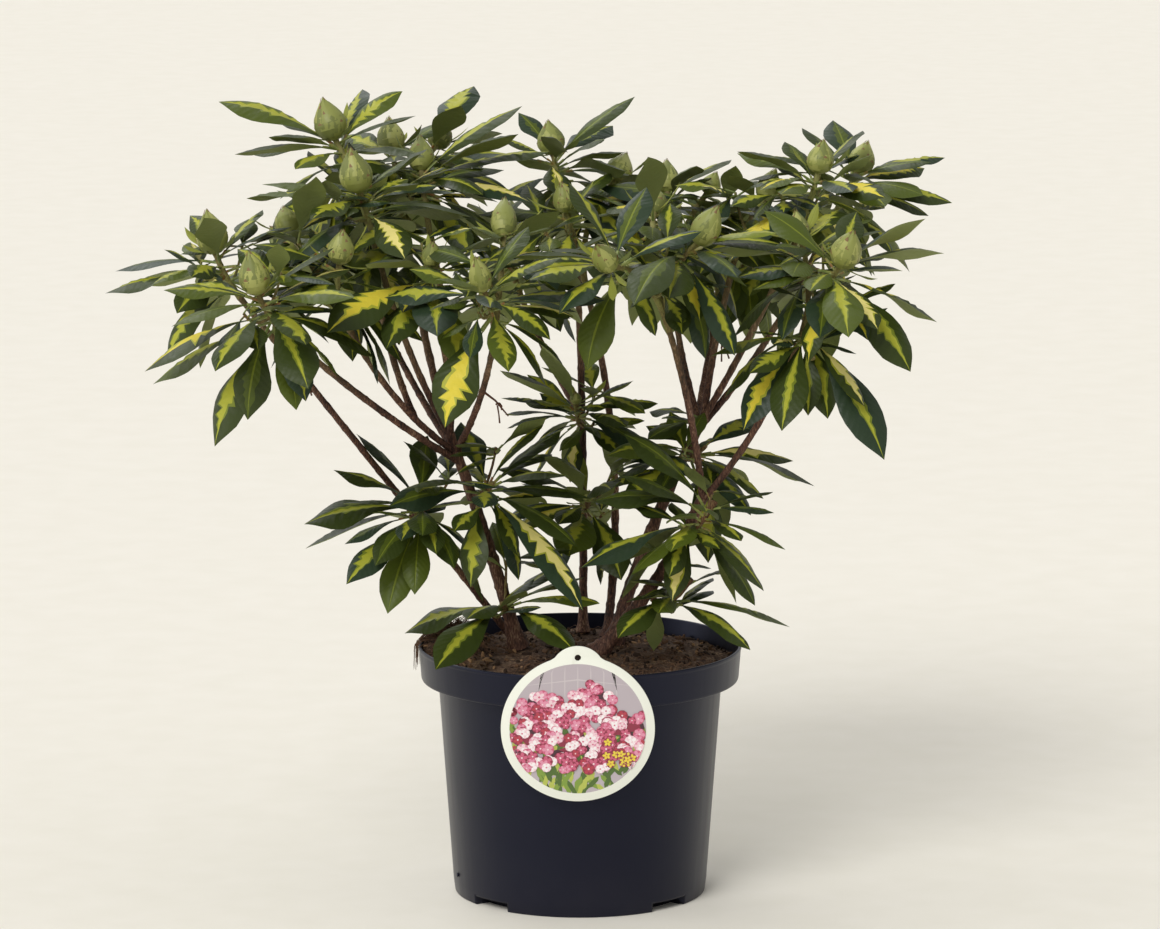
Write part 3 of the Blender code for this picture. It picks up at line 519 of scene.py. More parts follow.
soil_shape = spun(soil_outline(), 144)
for point in soil_shape.verts:
    if point.co.z > BAND_FOOT + WALL + 2:
        point.co.z = ground(point.co.x, point.co.y)
soil = object_from("peat_bed", soil_shape, [], smooth_degrees=80)
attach(soil, "root")
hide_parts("soil")
print(f"soil: {triangles(soil)} triangles, level at {SOIL_LEVEL:.0f} mm")

# %% [markdown]
# Moist sphagnum peat is not one brown. Wet lumps are nearly black, drying ones are chocolate, and
# chopped fibre shows as tan flecks a millimetre or two long. Three sizes of noise give those, and the
# surface stays fully rough, because wet peat has almost no shine.

# %% Finish the soil
sphagnum_peat, tree, shader = start_material(
    "sphagnum_peat_moist", "#33241b", 0.95, Specular_IOR_Level=0.25
)
place = add_node(tree, "ShaderNodeTexCoord", out="Object")
lumps = add_node(tree, "ShaderNodeTexNoise", {"Vector": place, "Scale": per_mm(14), "Detail": 8})
crumb = add_node(tree, "ShaderNodeTexNoise", {"Vector": place, "Scale": per_mm(2.2), "Detail": 6})
flecks = add_node(tree, "ShaderNodeTexVoronoi", {"Vector": place, "Scale": per_mm(1.8)})
mixed = add_node(tree, "ShaderNodeMath", {0: lumps, 1: crumb}, operation="ADD")
half = add_node(tree, "ShaderNodeMath", {0: mixed, 1: 0.5}, operation="MULTIPLY")
browns = add_node(
    tree,
    "ShaderNodeValToRGB",
    {0: half},
    stops=[(0.34, "#2a1f17"), (0.47, "#4b3628"), (0.56, "#645040"), (0.66, "#927558")],
)
tan_flecks = add_node(
    tree,
    "ShaderNodeMapRange",
    {"Value": flecks, "From Min": 0.0, "From Max": 0.16, "To Min": 0.7, "To Max": 0},
)
peat_colour = add_node(
    tree,
    "ShaderNodeMix",
    {"Factor": tan_flecks, 6: browns, 7: linear("#6b4c30")},
    out=2,
    data_type="RGBA",
)
tree.links.new(peat_colour, shader.inputs["Base Color"])
rough_ground = add_node(
    tree, "ShaderNodeBump", {"Height": crumb, "Distance": 1.6 * MM, "Strength": 0.9}
)
tree.links.new(rough_ground, shader.inputs["Normal"])
soil.data.materials.append(sphagnum_peat)
print("soil finished")

# %% [markdown]
# ## Crumbs and fibres
#
# A surface pattern alone looks like a rug. Real crumbs cast shadows, so some hundreds of small lumps
# are strewn over the soil. Each is a ball of twenty faces, squashed and turned at random, and all
# are joined into one mesh for each colour. The fibres are one curve with many short bent strands.

# %% Strew the crumbs
CRUMBS = {
    # name: (colour, how many)
    "peat_crumbs_dark": ("#33251b", 420),
    "peat_crumbs_brown": ("#604733", 320),
    "bark_chips": ("#9a7857", 130),
}


def strew(name, colour, count):
    dice = random.Random(name)
    shape = bmesh.new()
    for _ in range(count):
        far = (SOIL_EDGE - 3) * math.sqrt(dice.random())
        turn = dice.uniform(0, math.tau)
        x, y = far * math.cos(turn), far * math.sin(turn)
        if dice.random() < 0.3:
            x = HEAP_PLACE[0] + dice.gauss(0, 14)
            y = HEAP_PLACE[1] + dice.gauss(0, 20)
        if math.hypot(x, y) > SOIL_EDGE - 2:
            continue
        size = dice.uniform(0.7, 2.1)
        place = Matrix.Translation((x, y, ground(x, y) + size * 0.3))
        pivot = Vector((dice.random(), 1, dice.random()))
        place @= Matrix.Rotation(dice.uniform(0, math.tau), 4, pivot)
        long, wide, flat = dice.uniform(0.8, 2.2), dice.uniform(0.7, 1.2), dice.uniform(0.5, 0.9)
        place @= Matrix.Diagonal((long, wide, flat, 1))
        bmesh.ops.create_icosphere(shape, subdivisions=1, radius=size, matrix=place)
    finish, crumb_tree, crumb_shader = start_material(name, colour, 0.93, Specular_IOR_Level=0.25)
    where = add_node(crumb_tree, "ShaderNodeTexCoord", out="Object")
    grit = add_node(crumb_tree, "ShaderNodeTexNoise", {"Vector": where, "Scale": per_mm(0.8)})
    pitted = add_node(crumb_tree, "ShaderNodeBump", {"Height": grit, "Distance": 0.5 * MM})
    crumb_tree.links.new(pitted, crumb_shader.inputs["Normal"])
    made = object_from(name, shape, [finish], smooth_degrees=20)
    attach(made, "root")
    return made


for crumb_name, (crumb_colour, crumb_count) in CRUMBS.items():
    print(crumb_name, triangles(strew(crumb_name, crumb_colour, crumb_count)), "triangles")

# %% [markdown]
# Dry fibres lie on the peat, thickest in the heap on the left, where some hang over the rim. They are
# bent rods drawn as one curve with a round section, which is then turned into a mesh.

# %% Lay the fibres
FIBRE_RADIUS = 0.28


def strands(name, ways, radius, finish, sides=4):
    """Many thin rods in one mesh. Each way is a list of (point, share of the radius)."""
    curve = bpy.data.curves.new(name, "CURVE")
    curve.dimensions = "3D"
    curve.bevel_depth = radius * MM
    curve.bevel_resolution = sides // 2 - 2
    curve.use_fill_caps = True
    for way in ways:
        line = curve.splines.new("POLY")
        line.points.add(len(way) - 1)
        for knot, (point, share) in zip(line.points, way):
            knot.co = (*(Vector(point) * MM), 1)
            knot.radius = share
    drawn = bpy.data.objects.new(name, curve)
    bpy.context.scene.collection.objects.link(drawn)
    bpy.context.view_layer.update()
    graph = bpy.context.evaluated_depsgraph_get()
    shape = bmesh.new()
    shape.from_mesh(bpy.data.meshes.new_from_object(drawn.evaluated_get(graph)))
    bmesh.ops.remove_doubles(shape, verts=shape.verts, dist=0.001 * MM)
    bmesh.ops.scale(shape, vec=(1 / MM,) * 3, verts=shape.verts)
    bpy.data.objects.remove(drawn)
    return object_from(name, shape, [finish], smooth_degrees=70)


def fibre(dice, x, y, length, lift):
    """A bent strand that lies on the ground and rises a little in the middle."""
    turn = dice.uniform(0, math.tau)
    curl = dice.uniform(-0.5, 0.5)
    knots = 5
    way = []
    for i in range(knots):
        share = i / (knots - 1)
        rise = 0.3 + lift * math.sin(math.pi * share)
        inside = min(1.0, (SOIL_EDGE - 1) / max(1.0, math.hypot(x, y)))
        x, y = x * inside, y * inside
        way.append(((x, y, ground(x, y) + rise), 1 - 0.5 * share))
        x += length / knots * math.cos(turn)
        y += length / knots * math.sin(turn)
        turn += curl + dice.uniform(-0.35, 0.35)
    return way


def rootlet(dice):
    """A strand of the old root tangle that hangs over the rim on the left."""
    turn = math.radians(dice.uniform(168, 186))
    out = Vector((math.cos(turn), math.sin(turn), 0))
    reach = RIM_RADIUS + dice.uniform(0.8, 3.0)
    drop = dice.uniform(3, 20)
    start = out * (RIM_RADIUS - 18)
    start.z = ground(start.x, start.y)
    over = out * (RIM_RADIUS - 3)
    over.z = POT_HEIGHT + dice.uniform(1.5, 6)
    side = Vector((-out.y, out.x, 0)) * dice.uniform(-5, 5)
    beyond = out * reach + side * 0.5
    beyond.z = POT_HEIGHT - 1
    low = out * (reach + 0.5) + side
    low.z = POT_HEIGHT - drop
    return [(start, 1.2), (over, 1.0), (beyond, 0.8), (low, 0.4)]


fibre_dice = random.Random("fibres")
fibres = []
for _ in range(230):
    far = (SOIL_EDGE - 8) * math.sqrt(fibre_dice.random())
    turn = fibre_dice.uniform(0, math.tau)
    spot = (far * math.cos(turn), far * math.sin(turn))
    fibres.append(fibre(fibre_dice, *spot, fibre_dice.uniform(6, 16), fibre_dice.uniform(0.4, 2.2)))
for _ in range(300):
    spot = (HEAP_PLACE[0] + fibre_dice.gauss(0, 9), HEAP_PLACE[1] + fibre_dice.gauss(-2, 21))
    fibres.append(fibre(fibre_dice, *spot, fibre_dice.uniform(10, 26), fibre_dice.uniform(1, 8)))
for _ in range(90):
    spot = (fibre_dice.gauss(72, 14), fibre_dice.gauss(-34, 16))
    fibres.append(fibre(fibre_dice, *spot, fibre_dice.uniform(5, 14), fibre_dice.uniform(1, 3)))
fibres += [rootlet(fibre_dice) for _ in range(26)]
root_fibre, tree, shader = start_material("dry_root_fibre", "#5f4430", 0.85)
place = add_node(tree, "ShaderNodeTexCoord", out="Object")
patches = add_node(tree, "ShaderNodeTexNoise", {"Vector": place, "Scale": per_mm(6)})
twisted = add_node(tree, "ShaderNodeBump", {"Height": patches, "Distance": 0.3 * MM})
tree.links.new(twisted, shader.inputs["Normal"])
roots = strands("root_fibres", fibres, FIBRE_RADIUS, root_fibre)
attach(roots, "root")
print(f"{len(fibres)} fibres, {triangles(roots)} triangles")

# %% [markdown]
# ## The hanging card
#
# A round card of coated plastic sheet hangs over the front of the rim, with a tab on top and a
# punched hole. A die cuts such cards. Two overlapping discs would leave a seam where they meet, so
# the whole outline is drawn at once and extruded, the hole is cut through, and the edge is eased by
# a tiny bevel. The card leans on the band as the solid does.

# %% Cut the card
CARD_RADIUS = 53.5
CARD_THICK = 1.0
CARD_PLACE = (-1.5, 141.0)  # its centre's x and z
CARD_LEAN = math.radians(7)
TAB_RADIUS = 19.0
TAB_RISE = 41.5
HOLE_RADIUS = 2.2
HOLE_RISE = 52.0
PICTURE_RADIUS = 47.5
card_back = BAND_FOOT_RADIUS + 2 * CLEAR - (BAND_FOOT - CARD_PLACE[1]) * math.tan(CARD_LEAN)
CARD_AT = Matrix.Translation((CARD_PLACE[0], -card_back - CARD_THICK / 2, CARD_PLACE[1]))
CARD_AT @= Matrix.Rotation(CARD_LEAN, 4, "X")


CARD_POINTS = 150


def card_outline():
    """The disc's points outside the tab, and the tab's points outside the disc, in one round."""
    disc = [math.tau * i / CARD_POINTS for i in range(CARD_POINTS)]
    disc = [(CARD_RADIUS * math.cos(turn), CARD_RADIUS * math.sin(turn)) for turn in disc]
    tab = [math.tau * i / CARD_POINTS for i in range(CARD_POINTS)]
    tab = [(TAB_RADIUS * math.cos(turn), TAB_RISE + TAB_RADIUS * math.sin(turn)) for turn in tab]
    outer = [spot for spot in disc if math.hypot(spot[0], spot[1] - TAB_RISE) > TAB_RADIUS + 0.4]
    outer += [spot for spot in tab if math.hypot(*spot) > CARD_RADIUS + 0.4]
    return sorted(outer, key=lambda spot: math.atan2(spot[1] - 20, spot[0]))


outline_shape = bmesh.new()
front_points = [outline_shape.verts.new((x, -CARD_THICK / 2, z)) for x, z in card_outline()]
front_face = outline_shape.faces.new(front_points)
grown = bmesh.ops.extrude_face_region(outline_shape, geom=[front_face])
back_points = [item for item in grown["geom"] if isinstance(item, bmesh.types.BMVert)]
bmesh.ops.translate(outline_shape, vec=(0, CARD_THICK, 0), verts=back_points)
card = object_from("plant_card", outline_shape, [])
punch_shape = bmesh.new()
punch_place = Matrix.Translation((0, 0, HOLE_RISE)) @ Matrix.Rotation(math.radians(90), 4, "X")
bmesh.ops.create_cone(
    punch_shape,
    cap_ends=True,
    segments=32,
    radius1=HOLE_RADIUS,
    radius2=HOLE_RADIUS,
    depth=4 * CARD_THICK,
    matrix=punch_place,
)
combined(card, object_from("punch", punch_shape, []), "DIFFERENCE")
card_shape = bmesh.new()
card_shape.from_mesh(card.data)
bmesh.ops.scale(card_shape, vec=(1 / MM,) * 3, verts=card_shape.verts)
bmesh.ops.dissolve_limit(
    card_shape, angle_limit=0.01, verts=card_shape.verts, edges=card_shape.edges
)
rim_edges = [edge for edge in card_shape.edges if edge.calc_face_angle(0) > 1.2]
bmesh.ops.bevel(
    card_shape,
    geom=rim_edges,
    offset=0.25,
    segments=2,
    profile=0.5,
    affect="EDGES",
    material=-1,
)
bmesh.ops.transform(card_shape, matrix=CARD_AT, verts=card_shape.verts)
bpy.data.objects.remove(card)
coated_sheet, tree, shader = start_material("white_coated_sheet", "#eef0e4", 0.32, Coat_Weight=0.3)
place = add_node(tree, "ShaderNodeTexCoord", out="Object")
haze = add_node(tree, "ShaderNodeTexNoise", {"Vector": place, "Scale": per_mm(25)})
handled = add_node(tree, "ShaderNodeMapRange", {"Value": haze, "To Min": 0.27, "To Max": 0.4})
tree.links.new(handled, shader.inputs["Roughness"])
card = object_from("plant_card", card_shape, [coated_sheet], smooth_degrees=30)
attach(card, "root")
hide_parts("plant_label")
print(f"card: {triangles(card)} triangles, {CARD_RADIUS * 2:.0f} mm across")

# %% [markdown]
# The card carries a printed garden scene. Ours is a plain one of our own: a lilac sky, a mound of
# blossom in pinks and reds, a few yellow flowers and a bed of leaves. An image would be simplest to
# print, but flat shapes in solid inks, laid one over another like paper cut-outs, stay sharp at
# any size. Each ink is a separate material.

# %% Mix the inks
INKS = {
    "ink_lilac": "#b9aeb4",
    "ink_lilac_pale": "#c9c0c2",
    "ink_shade": "#4a2733",
    "ink_wine": "#8e2c44",
    "ink_leaf_dark": "#4f6a2c",
    "ink_leaf": "#7f9a3c",
    "ink_leaf_light": "#b4bd55",
    "ink_red": "#b43a4c",
    "ink_rose": "#cc5f7e",
    "ink_pink": "#e093ac",
    "ink_blush": "#f0cfd6",
    "ink_white": "#f7eff0",
    "ink_yellow": "#e8cf45",
    "ink_gold": "#c98f3a",
}


def mix_ink(name, colour):
    made, ink_tree, ink_shader = start_material(name, colour, 0.35, Coat_Weight=0.3)
    where = add_node(ink_tree, "ShaderNodeTexCoord", out="Object")
    film = add_node(ink_tree, "ShaderNodeTexNoise", {"Vector": where, "Scale": per_mm(9)})
    uneven = add_node(ink_tree, "ShaderNodeMapRange", {"Value": film, "To Min": 0.28, "To Max": 0.42})
    ink_tree.links.new(uneven, ink_shader.inputs["Roughness"])
    return made


inks = {name: mix_ink(name, colour) for name, colour in INKS.items()}
ink_order = list(inks)
print(len(inks), "inks")

# %% [markdown]
# The picture is laid from the back to the front: sky, leaves, shade, and then the flowers from the
# top of the mound down. Each shape lies a hair in front of the last, too little for the eye to see.

# %% Print the picture
LAYER = 0.0008  # mm that each shape lies in front of the one before
picture_shape = bmesh.new()
layers = 0


def lay(x, z, wide, tall, turn, ink, sides=8, flush=False):
    """Lays one flat oval on the picture, flush with the last one if need be. What would stick out
    over the picture's edge is drawn in."""
    global layers
    if math.hypot(x, z) > PICTURE_RADIUS:
        return
    layers += 0 if flush else 1
    oval = Matrix.Translation((x, -CARD_THICK / 2 - 0.02 - LAYER * layers, z))
    oval @= Matrix.Rotation(turn, 4, "Y") @ Matrix.Diagonal((wide, 1, tall, 1))
    oval @= Matrix.Rotation(math.radians(90), 4, "X")
    made = bmesh.ops.create_circle(
        picture_shape, cap_ends=True, segments=sides, radius=1, matrix=oval
    )
    for point in made["verts"]:
        far = math.hypot(point.co.x, point.co.z)
        if far > PICTURE_RADIUS:
            point.co.x *= PICTURE_RADIUS / far
            point.co.z *= PICTURE_RADIUS / far
    for face in {face for point in made["verts"] for face in point.link_faces}:
        face.material_index = ink_order.index(ink)


def blossom(x, z, size, petal_ink, heart_ink, dice):
    """Five petals round a small heart, on a darker shade of their own."""
    first = dice.uniform(0, math.tau)
    under = {"ink_white": "ink_blush", "ink_blush": "ink_pink", "ink_pink": "ink_rose"}
    lay(x, z, size * 0.98, size * 0.98, first, under.get(petal_ink, "ink_wine"), 10)
    for i in range(5):
        turn = first + math.tau * i / 5
        petal = (x + math.sin(turn) * size * 0.52, z + math.cos(turn) * size * 0.52)
        lay(*petal, size * 0.3, size * 0.42, turn, petal_ink, 6, flush=i > 0)
    lay(x, z, size * 0.18, size * 0.18, 0, heart_ink, 5)


SKY_SLATS = 9
LEAF_STROKES = 240
SHADES = 60
BLOSSOMS = 300
YELLOW_FLOWERS = 14


def mound(x):
    """How high the mound of blossom stands above the picture's middle, at x."""
    return 30 - 0.008 * x * x + 5 * math.sin(x / 8)


def print_picture():
    """Sky and fence, leaves, the mound of blossom from the back to the front, yellow flowers."""
    dice = random.Random("garden picture")
    lay(0, 0, PICTURE_RADIUS, PICTURE_RADIUS, 0, "ink_lilac", 96)
    for i in range(SKY_SLATS):
        lay(-36 + 9 * i, 34, 0.4, 14, 0, "ink_lilac_pale", 6)
    lay(0, 36, 46, 0.5, 0, "ink_lilac_pale", 6)
    for _ in range(LEAF_STROKES):
        x, z = dice.uniform(-46, 46), dice.uniform(-47, 2)
        green = dice.choice(("ink_leaf_dark", "ink_leaf_dark", "ink_leaf", "ink_leaf_light"))
        lay(x, z, 1.9, dice.uniform(4, 8), dice.uniform(-0.9, 0.9), green, 6)
    for _ in range(SHADES):
        x, z = dice.uniform(-44, 44), dice.uniform(-24, 26)
        if z < mound(x) - 5:
            lay(x, z, 5, 4, 0, dice.choice(("ink_shade", "ink_wine")), 7)
    spots = [(dice.uniform(-47, 47), dice.uniform(-30, 36)) for _ in range(BLOSSOMS)]
    for x, z in sorted(spots, key=lambda spot: -spot[1]):
        if z > mound(x):
            continue
        petal = dice.choice(
            ("ink_red", "ink_rose", "ink_rose", "ink_pink", "ink_pink", "ink_blush", "ink_white", "ink_white")
        )
        heart = "ink_rose" if petal in ("ink_white", "ink_blush") else "ink_blush"
        blossom(x, z, dice.uniform(3.0, 4.6), petal, heart, dice)
    for _ in range(YELLOW_FLOWERS):
        x, z = 31 + dice.gauss(0, 5), -22 + dice.gauss(0, 4)
        blossom(x, z, 3.2, "ink_yellow", "ink_gold", dice)


print_picture()
bmesh.ops.transform(picture_shape, matrix=CARD_AT, verts=picture_shape.verts)
picture = object_from("card_picture", picture_shape, list(inks.values()), smooth_degrees=1)
front = (CARD_AT.to_3x3() @ Vector((0, -1, 0))).normalized()
for face in picture.data.polygons:
    if face.normal.dot(front) < 0:
        face.flip()
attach(picture, "root")
print(f"{layers} layers of ink, {triangles(picture)} triangles")

# %% [markdown]
# ## Where the plant grows
#
# These tables are the plant's own plan, the same one that its solids follow: where each stem stands
# and leans, where each bough leaves it, and where each leafy shoot ends. reaching gives the far tips
# that certain long leaves grow to, so the crown gets its outline. Lengths are in millimetres, with x
# to the right, y to the back and z up from the floor.

# %% Name the plant's measures
ROOT_FLARE = 0.75  # a stem is this share wider at the soil
FLARE_TOP = 0.8  # half its width above the soil, the flare is down to this share
BOUGH_RADII = (2.5, 2.1)
TWIG_RADII = (2.3, 1.9)
TWIG_SUNK = 1.3  # a mass's second and third twig start this much further inside the first
TWIG_THINNER = 0.15  # and are this much thinner
BUD_SUNK = 2.0
BUD_UPRIGHT = 0.4  # how much of a bud's heading is upright, the rest being its twig's
GOLDEN_ANGLE = math.radians(137.5)  # from each leaf to the next, round the twig
LEAF_LENGTH = 80.0
LEAF_WIDTH = 0.38  # share of its length
LEAF_WIDEST = 92.0  # a leaf longer than this is no wider than one of this length
WIDTH_SPREAD = (0.9, 1.12)
LEAF_ROLL = 24  # degrees a leaf may be turned about its length, either way
LOWEST_ROOT = 0.2  # no leaf roots lower on its twig than this share of it
FAR_BACK = (6, 12)  # mm under its twig's tip that a far-reaching leaf roots
FAR_DROP = 0.28  # and this share of its fall further down
FAR_STRAY = 2.5  # mm that each later try may move its tip
FAR_ARCH = (0.05, 0.1)  # share of its length that it bows up
WHORL_UPRIGHT = 0.6  # how much of a whorl's axis is upright, the rest being its twig's
WHORL_TURN = 0.3  # radians a leaf may stand off its place in the whorl
RETRY_TURN = 0.4  # radians that each later try turns it further
WHORL_RISE = 20  # degrees above level of the youngest leaf
WHORL_FALL = 72  # how much less the oldest rises
RISE_SPREAD = 9
RETRY_FALL = 3
WHORL_BACK = 5  # mm under its twig's tip that the youngest leaf roots
WHORL_DEPTH = 28  # how much lower the oldest roots
SHORT_TWIG = 48  # a twig shorter than this has its whorl closer
RETRY_SHORTER = 0.05
LEAF_TRIES = 8
STEEP = 0.25  # sine of the angle to the vertical under which a leaf's own heading says nothing


def shoot(tip, leaves=7, bud=(30, 10), reaching=(), lengths=1.0):
    """A twig's tip, where its bud sits, how many leaves it carries, and the far tips of others."""
    return dict(tip=tip, leaves=leaves, bud=bud, reaching=reaching, lengths=lengths)


print(f"leaves are {LEAF_LENGTH:.0f} mm long, more or less")

# %% [markdown]
# The plan itself comes next. Stems stand in the soil, boughs leave the stems, and each leafy mass
# sits on the end or the side of a limb with one to three shoots.

# %% Plan the stems, boughs and shoots
STEMS = {
    "trunk_left": dict(foot=(-44, 8), top=(-92, -14, 332), bow=(2, 0, 0), radii=(4.7, 3.5)),
    "stem_left_thin": dict(foot=(-47, 30), top=(-236, -62, 436), bow=(2, 0, -2), radii=(2.6, 2.1)),
    "stem_middle_front": dict(foot=(19, 42), top=(6, 112, 412), bow=(12, 0, 0), radii=(3.1, 2.2)),
    "stem_middle_back": dict(foot=(2, 62), top=(-2, 60, 436), bow=(2, 10, 0), radii=(3.1, 2.2)),
    "trunk_right": dict(foot=(12, -16), top=(86, -36, 290), bow=(4, 0, -4), radii=(5.0, 3.6)),
    "trunk_right_back": dict(foot=(24, 24), top=(88, 20, 338), bow=(-5, 0, 0), radii=(4.8, 3.5)),
}

BOUGHS = {
    "bough_left_front": dict(on="trunk_left", at=0.87, end=(-202, -132, 422), bow=(0, 0, -5)),
    "bough_left_inner": dict(on="trunk_left", at=0.91, end=(-159, -72, 414), bow=(-3, 0, -7)),
    "bough_left_top": dict(on="bough_left_inner", at=0.36, end=(-145, 30, 444), bow=(-4, 0, -2)),
    "bough_left_crest": dict(on="trunk_left", at=0.97, end=(-142, -32, 465), bow=(-5, 0, 0)),
    "bough_left_rear": dict(
        on="trunk_left", at=1.0, end=(-121, 62, 444), bow=(-2, 0, 0), radii=(2.9, 2.4)
    ),
    "bough_left_upright": dict(on="trunk_left", at=1.0, end=(-104, 30, 457), bow=(4, 2, 0)),
    "bough_left_near": dict(on="trunk_left", at=0.99, end=(-99, -60, 421), bow=(3, -2, 0)),
    "bough_centre_left": dict(on="trunk_left", at=0.92, end=(-60, -110, 408), bow=(3, -2, -2)),
    "bough_centre_right": dict(on="trunk_right", at=1.0, end=(62, -74, 414), bow=(3, 0, 0)),
    "bough_right_front": dict(on="trunk_right", at=0.97, end=(152, -64, 406), bow=(4, 0, -5)),
    "bough_right_inner": dict(on="trunk_right_back", at=0.97, end=(67, 64, 422), bow=(-3, 0, 0)),
    "bough_right_upright": dict(on="trunk_right_back", at=1.0, end=(110, 50, 446), bow=(-2, 0, 0)),
    "bough_right_crest": dict(on="trunk_right_back", at=1.0, end=(146, 24, 449), bow=(0, -3, -3)),
    "bough_right_rear": dict(on="trunk_right_back", at=0.95, end=(170, 66, 453), bow=(4, 2, -5)),
    "bough_back_left": dict(on="trunk_left", at=0.9, end=(-150, 104, 408), bow=(0, 4, -6)),
    "bough_back_middle": dict(on="stem_middle_back", at=0.6, end=(-42, 160, 402), bow=(0, 4, -6)),
    "bough_back_right": dict(on="trunk_right_back", at=0.9, end=(100, 142, 402), bow=(0, 6, -6)),
}
